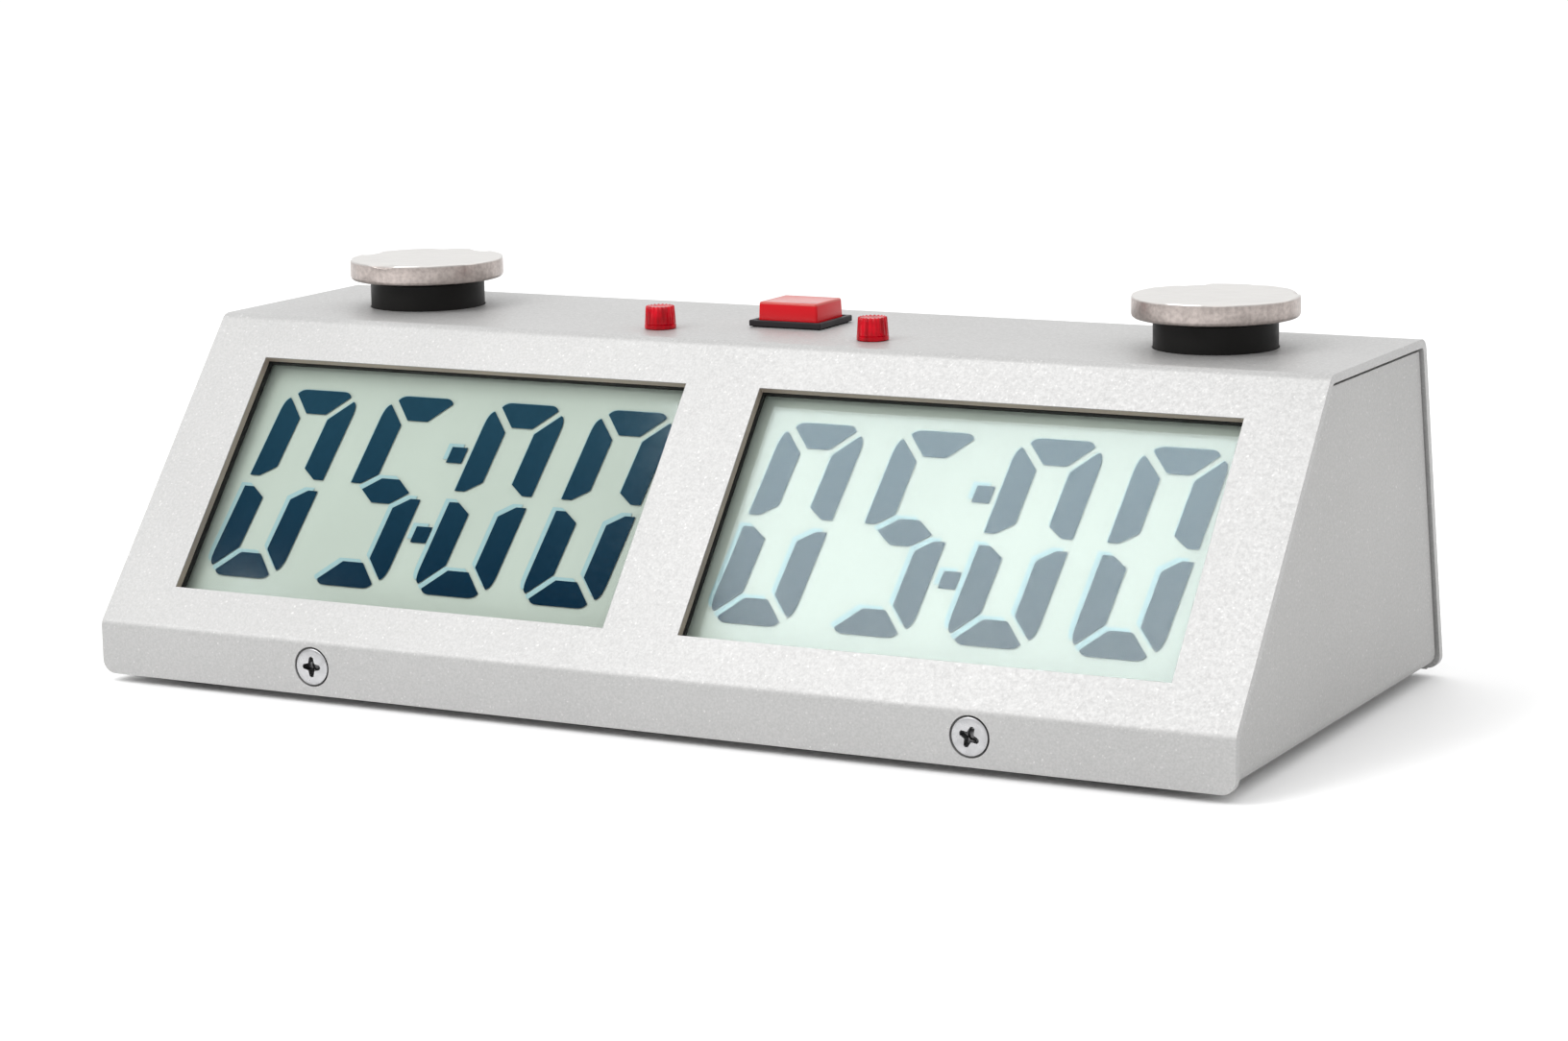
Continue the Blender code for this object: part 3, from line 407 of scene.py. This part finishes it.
def pane(name, clear, shine):
    """A thin plate: what is behind it shows, under a soft anti-glare reflection."""
    look = Look(name, (0.84, 0.96, 1.0), 0.15, 1.0)
    look.rough(look.noise(900.0, 2.0), 0.06, 0.10)
    look.bump(look.noise(2200.0, 2.0), 0.02, 0.00002)
    see = look.node("ShaderNodeBsdfTransparent")
    see.inputs["Color"].default_value = (*clear, 1.0)
    mix = look.node("ShaderNodeMixShader")
    mix.inputs["Fac"].default_value = shine
    look.link(see.outputs[0], mix.inputs[1])
    look.link(look.shader.outputs[0], mix.inputs[2])
    look.link(mix.outputs[0], look.tree.nodes["Material Output"].inputs["Surface"])
    return look.material


def film(name, color):
    """The display's grey-green reflector, with a very fine pearl grain."""
    look = Look(name, color, 0.6, Specular_IOR_Level=0.1)
    cloud = look.ramp(look.noise(30.0, 2.0), tint(color, 0.95), tint(color, 1.04), 0.3, 0.7)
    grain = look.ramp(look.noise(3000.0, 1.0), 0.97, 1.0, 0.35, 0.65)
    look.paint(look.blend(1.0, cloud, grain, "MULTIPLY"))
    look.rough(look.noise(600.0), 0.5, 0.7)
    return look.material


def ink(name, upper, lower):
    """A display segment: deep blue-green, a little lighter towards the top of the window."""
    look = Look(name, upper, 0.6, Specular_IOR_Level=0.0)
    shade = look.ramp(look.rise(*INK_SPAN), lower, upper)
    grain = look.ramp(look.noise(900.0, 2.0), 0.93, 1.0, 0.3, 0.7)
    look.paint(look.blend(1.0, shade, grain, "MULTIPLY"))
    return look.material


def circuit(name):
    """Solder mask over copper tracks: square paths, pads and a glossy green coat."""
    look = Look(name, (0.02, 0.16, 0.06), 0.35)
    brick = look.node("ShaderNodeTexBrick")
    look.link(look.stretch((1, 1, 1), (SLOPE_ANGLE, 0, 0)), brick.inputs["Vector"])
    brick.inputs["Scale"].default_value = 120.0
    brick.inputs["Color1"].default_value = (0.015, 0.13, 0.05, 1)
    brick.inputs["Color2"].default_value = (0.02, 0.17, 0.06, 1)
    brick.inputs["Mortar"].default_value = (0.05, 0.27, 0.10, 1)
    brick.inputs["Mortar Size"].default_value = 0.03
    pads = look.ramp(look.cells(260.0, "Distance"), 1.0, 0.0, 0.10, 0.13)
    look.paint(look.blend(pads, brick.outputs["Color"], (0.62, 0.60, 0.52)))
    look.rough(look.noise(200.0), 0.28, 0.42)
    look.bump(brick.outputs["Fac"], 0.2, 0.00005)
    return look.material


def cell_jacket(name):
    """A plain printed battery sleeve: dark with a coppery band at one end."""
    look = Look(name, (0.05, 0.055, 0.07), 0.3, 0.3)
    split = look.node("ShaderNodeSeparateXYZ")
    look.link(look.place, split.inputs["Vector"])
    band = look.ramp(split.outputs["X"], 0.0, 1.0, 0.0125, 0.0126)
    look.paint(look.blend(band, (0.05, 0.055, 0.07), (0.66, 0.36, 0.16)))
    look.rough(look.noise(150.0), 0.24, 0.36)
    look.bump(look.noise(60.0, 2.0), 0.1, 0.0002)
    return look.material


LOOKS = {
    "case": powder_coat("silver_powder_coat", (0.430, 0.428, 0.424), 0.40, 0.46, (0.36, 0.30, 0.25)),
    "tray": powder_coat("side_powder_coat", (0.400, 0.397, 0.391), 0.30, 0.50),
    # the brighter face colour and the darker, warmer rim colour are painted reflection on one metal
    "nickel": turned_metal("worn_nickel_painted_sheen", (0.645, 0.63, 0.61), (0.46, 0.405, 0.38), 0.33),
    # the two boxes give painted shade deep in the cross recesses of the front and rear screws
    "screw": steel("bright_screw", (0.52, 0.52, 0.53), 0.30,
                   ((Matrix(), (-0.1, FRONT + 0.0003, 0.0), (0.1, FRONT + 0.0030, 0.02)),
                    (WALL, (-0.1, 0.0, -0.0030), (0.1, 0.02, -0.0003)))),
    "steel": steel("plain_steel"),
    "spring": steel("spring_steel", (0.45, 0.45, 0.47), 0.32),
    "collar": plastic("collar_black", (0.010, 0.0095, 0.009), 0.45, 1500.0, 0.10,
                      Specular_IOR_Level=0.12),
    "black": plastic("moulded_black", (0.020, 0.020, 0.021), 0.45),
    "bezel": plastic("bezel_black", (0.010, 0.010, 0.009), 0.55, Specular_IOR_Level=0.2),
    "flange": plastic("flange_black", (0.022, 0.020, 0.022), 0.42, Specular_IOR_Level=0.15),
    # the paler second colour is the painted sheen on the cap's top face
    "red": red_cap("cap_red", (0.58, 0.004, 0.010), (0.50, 0.085, 0.072)),
    "white": plastic("natural_nylon", (0.72, 0.70, 0.63), 0.45),
    "chip": plastic("chip_epoxy", (0.03, 0.03, 0.032), 0.55, 3200.0, 0.25),
    "lens": red_lens("red_lens"),
    "rubber": rubber("black_rubber"),
    "front_pane": pane("polariser", (0.98, 0.99, 0.98), 0.022),
    "film": film("reflector_film", (0.435, 0.485, 0.445)),
    "ink": ink("segment_ink", (0.014, 0.050, 0.082), (0.002, 0.018, 0.040)),
    "ghost": film("segment_shadow", (0.29, 0.43, 0.46)),
    "board": circuit("circuit_board"),
    "cell": cell_jacket("cell_jacket"),
    "cable": plastic("cable_sheath", (0.50, 0.03, 0.025), 0.42),
}


# Shaping -------------------------------------------------------------------------------------------
def at(x=0.0, y=0.0, z=0.0):
    return Matrix.Translation((x, y, z))


def block(low, high, place=Matrix()):
    piece = bmesh.new()
    bmesh.ops.create_cube(piece, size=1.0)
    low, high = Vector(low), Vector(high)
    scale = Matrix.Diagonal((*(high - low), 1.0))
    return settle(piece, place @ Matrix.Translation((low + high) / 2) @ scale)


def settle(piece, place):
    bmesh.ops.transform(piece, matrix=place, verts=piece.verts)
    bmesh.ops.recalc_face_normals(piece, faces=piece.faces)
    return piece


def turned(profile, sides, place=Matrix(), ring=False, shape=None):
    """A solid of revolution about Z; shape(radius, height, angle) may move each point."""
    piece = bmesh.new()
    rings = []
    for radius, height in profile:
        if radius < 1e-9:
            rings.append([piece.verts.new((0, 0, height))])
            continue
        points = []
        for step in range(sides):
            angle = math.tau * step / sides
            r, z = shape(radius, height, angle) if shape else (radius, height)
            points.append(piece.verts.new((r * math.cos(angle), r * math.sin(angle), z)))
        rings.append(points)
    pairs = list(zip(rings, rings[1:]))
    if ring:
        pairs.append((rings[-1], rings[0]))
    for lower, upper in pairs:
        for step in range(sides):
            after = (step + 1) % sides
            corners = [lower[step % len(lower)], lower[after % len(lower)], upper[after % len(upper)],
                       upper[step % len(upper)]]
            corners = list(dict.fromkeys(corners))
            if len(corners) > 2:
                piece.faces.new(corners)
    return settle(piece, place)


def prism(outline, axis, start, end, place=Matrix()):
    """A flat outline drawn out along an axis from start to end."""
    lift = {"X": lambda a, b: (start, a, b),
            "Y": lambda a, b: (a, start, b),
            "Z": lambda a, b: (a, b, start)}
    piece = bmesh.new()
    face = piece.faces.new([piece.verts.new(lift[axis](*point)) for point in outline])
    grown = bmesh.ops.extrude_face_region(piece, geom=[face])
    moved = [item for item in grown["geom"] if isinstance(item, bmesh.types.BMVert)]
    step = Vector([end - start if axis == letter else 0.0 for letter in "XYZ"])
    bmesh.ops.translate(piece, vec=step, verts=moved)
    return settle(piece, place)


def folded_line(corners, radius, inset, steps=10):
    """The line of a folded sheet with its inside on the right, inset from the outer face."""
    line = [Vector(corner) for corner in corners]
    ways = [(end - start).normalized() for start, end in zip(line, line[1:])]
    inward = [Vector((way.y, -way.x)) for way in ways]
    points = [line[0] + inward[0] * inset]
    for corner, way_in, side_in, side_out in zip(line[1:], ways, inward, inward[1:]):
        turn = side_in.angle_signed(side_out)
        reach = radius * math.tan(abs(turn) / 2)
        centre = corner - way_in * reach + side_in * radius
        for step in range(steps + 1):
            spoke = side_in.copy()
            spoke.rotate(Matrix.Rotation(-turn * step / steps, 2))
            points.append(centre - spoke * (radius - inset))
    points.append(line[-1] + inward[-1] * inset)
    return points


def mesh_object(name, solids, material, place=Matrix()):
    whole = bmesh.new()
    for piece in solids:
        holder = bpy.data.meshes.new("holder")
        piece.to_mesh(holder)
        piece.free()
        whole.from_mesh(holder)
        bpy.data.meshes.remove(holder)
    mesh = bpy.data.meshes.new(name)
    bmesh.ops.transform(whole, matrix=place, verts=whole.verts)
    whole.to_mesh(mesh)
    whole.free()
    if material:
        mesh.materials.append(material)
    obj = bpy.data.objects.new(name, mesh)
    bpy.context.scene.collection.objects.link(obj)
    return obj


def boolean(target, solids):
    """Cut the solids out of the target's mesh for good."""
    cutter = mesh_object("cutter", solids, None)
    modifier = target.modifiers.new("boolean", "BOOLEAN")
    modifier.operation = "DIFFERENCE"
    modifier.solver = "EXACT"
    modifier.object = cutter
    bpy.context.view_layer.update()
    result = bpy.data.meshes.new_from_object(target.evaluated_get(bpy.context.evaluated_depsgraph_get()))
    target.modifiers.clear()
    target.data = result
    bpy.data.objects.remove(cutter, do_unlink=True)


def clean(obj, angle=0.5):
    shape = bmesh.new()
    shape.from_mesh(obj.data)
    bmesh.ops.remove_doubles(shape, verts=shape.verts, dist=2e-6)
    bmesh.ops.dissolve_limit(shape, angle_limit=math.radians(angle), verts=shape.verts, edges=shape.edges)
    bmesh.ops.recalc_face_normals(shape, faces=shape.faces)
    shape.to_mesh(obj.data)
    shape.free()


def soften(obj, width, limit=35):
    """Round the edges a little and keep the flats flat."""
    modifier = obj.modifiers.new("edges", "BEVEL")
    modifier.width = width
    modifier.segments = 2
    modifier.limit_method = "ANGLE"
    modifier.angle_limit = math.radians(limit)
    obj.data.shade_smooth()
    flats = obj.modifiers.new("flats", "WEIGHTED_NORMAL")
    flats.mode = "FACE_AREA"
    flats.weight = 100
    flats.keep_sharp = True


def smooth(obj, limit=35):
    obj.data.shade_smooth()
    obj.data.set_sharp_from_angle(angle=math.radians(limit))


def stand_for(obj, body, slot, *nodes):
    if nodes:
        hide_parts(*nodes)
    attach(obj, body)
    return obj


def refine(node, body, slot, material, width, limit=35):
    """The same solid with clean flats and softened edges."""
    obj = bpy.data.objects.new("fine_" + node, NODES[node].data.copy())
    bpy.context.scene.collection.objects.link(obj)
    obj.data.materials.clear()
    obj.data.materials.append(material)
    clean(obj)
    soften(obj, width, limit)
    return stand_for(obj, body, slot, node)


# Case ----------------------------------------------------------------------------------------------
CASE_LINE = [(FRONT, STAND), (FRONT, LIP_TOP), (BEND_FRONT, TOP), (BEND_BACK, TOP), (BACK, STAND)]


def along_y(x, z, y):
    return at(x, y, z) @ Matrix.Rotation(math.radians(-90), 4, "X")


def into_wall(x, up):
    return WALL @ at(x, up, 0.0) @ Matrix.Rotation(math.pi, 4, "X")


def corner_cutter(side, start, end):
    arc = [(HALF_WIDTH - CORNER_RADIUS * (1 - math.cos(angle)),
            STAND + CORNER_RADIUS * (1 - math.sin(angle)))
           for angle in [math.radians(9 * step) for step in range(11)]]
    outline = [(HALF_WIDTH + 0.001, STAND - 0.001), (HALF_WIDTH + 0.001, STAND + CORNER_RADIUS), *arc]
    outline.append((HALF_WIDTH - CORNER_RADIUS, STAND - 0.001))
    return prism([(side * x, z) for x, z in outline], "Y", start, end)


def hole(radius, place, sides=96):
    profile = [(0, -CUT_REACH), (radius, -CUT_REACH), (radius, CUT_REACH), (0, CUT_REACH)]
    return turned(profile, sides, place)


def screw_seat(place):
    rim, sink = 0.00352, 0.0006
    profile = [(0, -0.002), (rim, -0.002), (rim, sink), (0.0019, sink + rim - 0.0019),
               (0.0019, CUT_REACH), (0, CUT_REACH)]
    return turned(profile, 48, place)


def make_cover():
    outline = folded_line(CASE_LINE, BEND_RADIUS, 0.0) + folded_line(CASE_LINE, BEND_RADIUS, SHEET)[::-1]
    cover = mesh_object("cover_shell", [prism(outline, "X", -HALF_WIDTH, HALF_WIDTH)], LOOKS["case"])
    boolean(cover, [corner_cutter(side, *span) for side in (-1, 1)
                    for span in ((FRONT - 0.001, FRONT + 0.004), (BACK - 0.004, BACK + 0.001))])
    half_x, half_s = WINDOW_HALF
    boolean(cover, [block((side * WINDOW_X - half_x, WINDOW_MIDDLE - half_s, -CUT_REACH),
                          (side * WINDOW_X + half_x, WINDOW_MIDDLE + half_s, CUT_REACH), PANEL)
                    for side in (-1, 1)])
    opening_x, opening_y = SELECT_OPENING
    cuts = [block((-opening_x, SELECT_Y - opening_y, TOP - CUT_REACH),
                  (opening_x, SELECT_Y + opening_y, TOP + CUT_REACH))]
    for side in (-1, 1):
        cuts.append(hole(COLLAR_RADIUS + COLLAR_CLEARANCE, at(side * PLAYER_X, PLAYER_Y, TOP)))
        cuts.append(hole(LAMP_HOLE, at(side * LAMP_X, LAMP_Y, TOP), 48))
        cuts.append(screw_seat(along_y(side * SCREW_X, SCREW_Z, FRONT)))
        cuts.append(screw_seat(into_wall(side * SCREW_X, REAR_SCREW_UP)))
    half_x, half_up = SWITCH_OPENING
    cuts.append(block((SWITCH_X - half_x, SWITCH_UP - half_up, -CUT_REACH),
                      (SWITCH_X + half_x, SWITCH_UP + half_up, CUT_REACH), WALL))
    boolean(cover, cuts)
    clean(cover)
    soften(cover, 0.00022, 32)
    stand_for(cover, "case", "case_paint", "cover")


# Screws and feet -----------------------------------------------------------------------------------
def make_screw(name, place, turn):
    """Countersunk cross-head screw: slightly domed face, tapered recess with small corner fillets."""
    head, shank, length = SCREW_HEAD, SCREW_SHANK, SCREW_LENGTH
    dome = [(head * step / 6, -0.00012 + 0.00019 * (step / 6) ** 2) for step in range(6)]
    profile = dome + [(head - 0.0001, 0.00006), (head, 0.00012), (head, 0.00025),
                      (shank, head - shank + 0.00025)]
    thread = []
    depth = head - shank + 0.0004
    while depth < length - 0.0009:
        thread += [(shank - 0.00028, depth), (shank, depth + 0.0003)]
        depth += 0.0006
    profile += thread + [(shank - 0.0003, length - 0.0005), (0.0009, length), (0, length)]
    screw = mesh_object("fine_" + name, [turned(profile, 48)], LOOKS["screw"])
    arms = []
    for quarter in range(2):
        outline = [(-0.00165, -0.00040), (0, -0.00078), (0.00165, -0.00040), (0.00185, 0.0),
                   (0.00165, 0.00040), (0, 0.00078), (-0.00165, 0.00040), (-0.00185, 0.0)]
        turned_by = Matrix.Rotation(math.radians(90) * quarter, 4, "Z")
        arms.append(prism(outline, "Z", -0.0005, 0.0016, turned_by))
    arms.append(turned([(0, -0.0005), (0.00095, -0.0005), (0.00095, 0.0022), (0, 0.0028)], 16))
    for arm in arms:
        boolean(screw, [arm])
    clean(screw, 0.3)
    soften(screw, 0.00006, 40)
    screw.data.transform(place @ Matrix.Rotation(math.radians(turn), 4, "Z"))
    stand_for(screw, "case", "steel", name)


def make_screws():
    for side, name, turn, rear_turn in ((-1, "left", 0, 40), (1, "right", 22, 5)):
        make_screw("front_cover_screw_" + name, along_y(side * SCREW_X, SCREW_Z, FRONT), turn)
        make_screw("rear_cover_screw_" + name, into_wall(-side * SCREW_X, REAR_SCREW_UP), rear_turn)


def make_feet():
    for name in ("left", "right"):
        for row in ("front", "rear"):
            node = f"rubber_foot_{row}_{name}"
            low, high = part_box(node)
            middle = at((low[0] + high[0]) / 2, (low[1] + high[1]) / 2, 0.0)
            pad_top, radius = 0.0018, 0.0065
            profile = [(0, 0.0005), (0.0030, 0.0005), (0.0036, 0.0), (0.0052, 0.0), (0.0060, 0.0002),
                       (radius, 0.0008), (radius, pad_top - 0.0002), (radius - 0.0002, pad_top),
                       (0.0022, pad_top), (0.0022, 0.0039), (0.0032, 0.0039), (0.0031, 0.0043),
                       (0.0018, high[2]), (0, high[2])]
            foot = mesh_object("fine_" + node, [turned(profile, 64, middle)], LOOKS["rubber"])
            smooth(foot, 40)
            stand_for(foot, "case", "rubber", node)


# Displays ------------------------------------------------------------------------------------------
SEGMENT_DEPTH = 0.00384
SEGMENT_THICK = 0.00004
DIGIT_HALF = (0.0079, 0.01935)
DIGIT_PITCH = 0.02185
DIGIT_MIDDLE = 0.03260
DIGIT_SLANT = math.tan(math.radians(4.8))
SHADOW_SHIFT = (-0.00095, 0.00070)
LIT = {"0": "ABCDEF", "5": "AFGCD"}


def arc_through(corner, start, end, steps=6):
    """A round corner from start to end that bulges towards corner."""
    points = []
    for step in range(steps + 1):
        t = step / steps
        points.append(tuple((1 - t) ** 2 * a + 2 * t * (1 - t) * b + t * t * c
                            for a, b, c in zip(start, corner, end)))
    return points


def segment_outlines():
    """The seven segments of one digit about its middle, before its slant."""
    wide, high = DIGIT_HALF
    thick = 0.0049
    inner = wide - thick
    tip = 0.0020
    top = (arc_through((-wide + 0.0026, high), (-wide + 0.0021, high - 0.0010), (-wide + 0.0040, high))
           + arc_through((wide - 0.0026, high), (wide - 0.0040, high), (wide - 0.0021, high - 0.0010))
           + [(inner - 0.0009, high - thick), (-inner + 0.0009, high - thick)])
    side = ([(wide - tip, 0.00115), (wide, 0.00115)]
            + arc_through((wide, high - 0.0022), (wide, high - 0.0050), (wide - 0.00105, high - 0.0019))
            + [(inner, high - thick - 0.0010), (inner, 0.0032)])
    middle = [(-0.0050, 0.0), (-0.00185, 0.00247), (0.00185, 0.00247),
              (0.0050, 0.0), (0.00185, -0.00247), (-0.00185, -0.00247)]

    def mirror(points, sx, sy):
        return [(x * sx, y * sy) for x, y in points]

    return {"A": top, "D": mirror(top, 1, -1),
            "B": side, "F": mirror(side, -1, 1), "C": mirror(side, 1, -1), "E": mirror(side, -1, -1),
            "G": middle}


def slanted(points, x, shift=(0.0, 0.0)):
    return [(x + px + DIGIT_SLANT * py + shift[0], DIGIT_MIDDLE + py + shift[1]) for px, py in points]


def plate(points, depth):
    return prism(points, "Z", -depth - SEGMENT_THICK, -depth)


def colon_squares():
    half = 0.0016
    for height in (0.0082, -0.0080):
        yield [(0.0003 + sx * half, height + sy * half)
               for sx, sy in ((-1, -1), (1, -1), (1, 1), (-1, 1))]


def make_digits(window_x, name):
    outlines = segment_outlines()
    segments, shadows = [], []
    for column, digit in zip((-1.5, -0.5, 0.5, 1.5), "0500"):
        x = window_x + column * DIGIT_PITCH
        for letter in LIT[digit]:
            segments.append(plate(slanted(outlines[letter], x), SEGMENT_DEPTH))
            shift = SHADOW_SHIFT if letter in "CDEG" else tuple(part * 0.25 for part in SHADOW_SHIFT)
            shadows.append(plate(slanted(outlines[letter], x, shift), SEGMENT_DEPTH + 0.00010))
    for square in colon_squares():
        segments.append(plate(slanted(square, window_x), SEGMENT_DEPTH))
        shadows.append(plate(slanted(square, window_x, SHADOW_SHIFT), SEGMENT_DEPTH + 0.00010))
    digits = mesh_object("lcd_segments_" + name, segments, LOOKS["ink"], PANEL)
    stand_for(digits, "case", "lcd_film")
    shade = mesh_object("lcd_segment_shadows_" + name, shadows, LOOKS["ghost"], PANEL)
    stand_for(shade, "case", "lcd_film")


def make_displays():
    for side, name in ((-1, "left"), (1, "right")):
        refine("lcd_bezel_" + name, "case", "black_plastic", LOOKS["bezel"], 0.0002)
        refine("lcd_front_glass_" + name, "case", "lcd_glass", LOOKS["front_pane"], 0.0001)
        refine("lcd_rear_glass_" + name, "case", "lcd_glass", LOOKS["film"], 0.0001)
        refine("lcd_reflector_" + name, "case", "lcd_film", LOOKS["film"], 0.0001)
        make_digits(side * WINDOW_X, name)


# Buttons and lamps ---------------------------------------------------------------------------------
def make_disc(side, name, seed):
    """The player's metal disc: a knocked, uneven top edge and a softly turned rim."""
    dice = random.Random(seed)
    waves = [(count, dice.uniform(0, math.tau), dice.uniform(0.4, 1.0)) for count in (4, 7, 8, 11)]
    low, high = TOP + DISC_LOW, TOP + DISC_HIGH

    def knocks(angle):
        return sum(size * math.sin(count * angle + phase) for count, phase, size in waves) / len(waves)

    def worn(radius, height, angle):
        if height > high - 0.0005 and radius > DISC_RADIUS - 0.0012:
            dent = 0.00075 * knocks(angle)
            return radius - abs(dent) * 0.35, height + min(0.0, dent)
        return radius, height

    edge = 0.00030
    profile = [(0, low + 0.0025), (0.0023, low + 0.0025), (0.0023, low), (DISC_RADIUS - 0.0008, low),
               (DISC_RADIUS - 0.00040, low + 0.00010), (DISC_RADIUS - 0.00014, low + 0.00032),
               (DISC_RADIUS - 0.00002, low + 0.0007), (DISC_RADIUS - 0.00002, high - edge)]
    for step in range(1, 6):
        turn = math.radians(90) * step / 5
        profile.append((DISC_RADIUS - 0.00002 - edge * (1 - math.cos(turn)),
                        high - edge * (1 - math.sin(turn))))
    profile += [(DISC_RADIUS - 0.0018, high - 0.00002), (DISC_RADIUS * 0.6, high - 0.00005),
                (DISC_RADIUS * 0.3, high - 0.00006), (0, high - 0.00006)]
    solid = turned(profile, 192, at(side * PLAYER_X, PLAYER_Y), shape=worn)
    disc = mesh_object("fine_player_disc_" + name, [solid], LOOKS["nickel"])
    smooth(disc, 50)
    stand_for(disc, name + "_button", "nickel", "player_disc_" + name)


def make_collar(side, name):
    """The black plunger under the disc."""
    high = TOP + COLLAR_HIGH
    r = COLLAR_RADIUS
    profile = [(0.0023, high), (r - 0.0003, high), (r, high - 0.0003), (r, TOP - 0.0080),
               (0.0120, TOP - 0.0080), (0.0120, TOP - 0.0100), (0.0092, TOP - 0.0100),
               (0.0092, TOP + 0.0010), (0.0042, TOP + 0.0010), (0.0042, TOP - 0.0090),
               (0.0023, TOP - 0.0090)]
    solid = turned(profile, 128, at(side * PLAYER_X, PLAYER_Y), ring=True)
    collar = mesh_object("fine_player_plunger_" + name, [solid], LOOKS["collar"])
    smooth(collar, 40)
    stand_for(collar, name + "_button", "black_plastic", "player_plunger_" + name)


def make_lamp(side, name):
    """A fluted red lens with a dished top and a plain foot."""
    base, body, high = 0.00280, 0.00275, TOP + LAMP_HIGH
    flutes = 20

    def fluted(radius, height, angle):
        if height > TOP + 0.0016 and radius > 0.0021:
            groove = 0.5 - 0.5 * math.cos(flutes * angle)
            lift = -0.00014 * groove if height > high - 0.0004 else 0.0
            return radius - 0.00016 * groove, height + lift
        return radius, height

    profile = [(0, TOP + 0.0022), (0.0018, TOP + 0.0022), (0.0018, TOP - 0.0060), (0.0023, TOP - 0.0060),
               (0.0023, TOP + 0.00015), (base, TOP + 0.00015), (base, TOP + 0.00080),
               (body - 0.00008, TOP + 0.00088), (body, TOP + 0.00098),
               (body - 0.00012, high - 0.0012), (body - 0.00020, high - 0.0002), (body - 0.00040, high),
               (0.0019, high - 0.00016), (0.0009, high - 0.00030), (0, high - 0.00035)]
    solid = turned(profile, 160, at(side * LAMP_X, LAMP_Y), shape=fluted)
    lens = mesh_object("fine_lamp_lens_" + name, [solid], LOOKS["lens"])
    smooth(lens, 40)
    stand_for(lens, "case", "red_lens", "lamp_lens_" + name)


def make_select_cap():
    """The centre cap: slightly tapered sides, small round edges and a faintly dished top."""
    low, high = TOP + CAP_LOW, TOP + CAP_HIGH
    sections = ((low, 0.00585, 0.00505), (TOP + 0.0010, 0.00585, 0.00505), (high, 0.00573, 0.00492))
    cap = bmesh.new()
    rings = [[cap.verts.new((sx * hx, sy * hy, z)) for sx, sy in ((-1, -1), (1, -1), (1, 1), (-1, 1))]
             for z, hx, hy in sections]
    for lower, upper in zip(rings, rings[1:]):
        for index in range(4):
            after = (index + 1) % 4
            cap.faces.new((lower[index], lower[after], upper[after], upper[index]))
    cap.faces.new(rings[0][::-1])
    top = cap.faces.new(rings[-1])
    cap.normal_update()
    bmesh.ops.inset_region(cap, faces=[top], thickness=0.0015, depth=-0.00016)
    edges = [edge for edge in cap.edges
             if abs(edge.verts[0].co.z - edge.verts[1].co.z) > 5e-4
             or min(vert.co.z for vert in edge.verts) > high - 1e-5]
    bmesh.ops.bevel(cap, geom=edges, offset=0.00050, segments=6, profile=0.5, affect="EDGES")
    obj = mesh_object("fine_select_cap", [settle(cap, at(0, SELECT_Y))], LOOKS["red"])
    boolean(obj, [block((-SELECT_HOLLOW, SELECT_Y - SELECT_HOLLOW, low - 0.001),
                        (SELECT_HOLLOW, SELECT_Y + SELECT_HOLLOW, TOP + 0.0008))])
    smooth(obj, 30)
    stand_for(obj, "select_button", "red_plastic", "select_cap")


def make_springs():
    """Each return spring: a copy of the imported one in spring steel, standing on its board."""
    for name, joint in (("player_spring_left", "left_button_press"),
                        ("player_spring_right", "right_button_press"),
                        ("select_spring", "select_button_press")):
        spring = bpy.data.objects.new("fine_" + name, NODES[name].data.copy())
        bpy.context.scene.collection.objects.link(spring)
        spring.data.materials.clear()
        spring.data.materials.append(LOOKS["spring"])
        smooth(spring, 60)
        stand_for(spring, "case", "spring_steel", name)
        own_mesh(spring)


def make_buttons():
    for side, name in ((-1, "left"), (1, "right")):
        make_disc(side, name, 7 + side)
        make_collar(side, name)
        make_lamp(side, name)
    make_select_cap()
    make_springs()
    refine("select_housing", "case", "black_plastic", LOOKS["flange"], 0.0002)


# Base and back -------------------------------------------------------------------------------------
def make_small_parts():
    refine("chassis_tray", "case", "tray_paint", LOOKS["tray"], 0.0002, 30)
    refine("battery_door", "battery_door", "black_plastic", LOOKS["black"], 0.00015)
    refine("power_switch_knob", "power_knob", "black_plastic", LOOKS["black"], 0.0001)
    refine("power_switch_body", "case", "black_plastic", LOOKS["black"], 0.00015)
    refine("battery_holder", "case", "black_plastic", LOOKS["black"], 0.0002)


CARRIED = {
    "rubber": ("lcd_connector_lower", "lcd_connector_upper"),
    "steel": ("player_bolt_left", "player_bolt_right"),
    "black": ("button_switch_left", "button_switch_right", "select_base", "piezo_buzzer"),
    "chip": ("processor_chip",),
    "white": ("board_post_lower_left", "board_post_lower_right", "board_post_upper_left",
              "board_post_upper_right", "player_housing_left", "player_housing_right", "select_plunger"),
    "lens": ("led_left", "led_right"),
    "board": ("main_board", "button_board_left", "button_board_right"),
    "cell": ("battery_cell_front", "battery_cell_middle", "battery_cell_rear"),
    "cable": ("button_cable_left", "button_cable_right", "battery_cable"),
}


def dress_carried():
    for look, names in CARRIED.items():
        for name in names:
            node = NODES[name]
            node.data.materials.clear()
            node.data.materials.append(LOOKS[look])


make_camera()
make_studio()
make_cover()
make_screws()
make_feet()
make_displays()
make_buttons()
make_small_parts()
dress_carried()
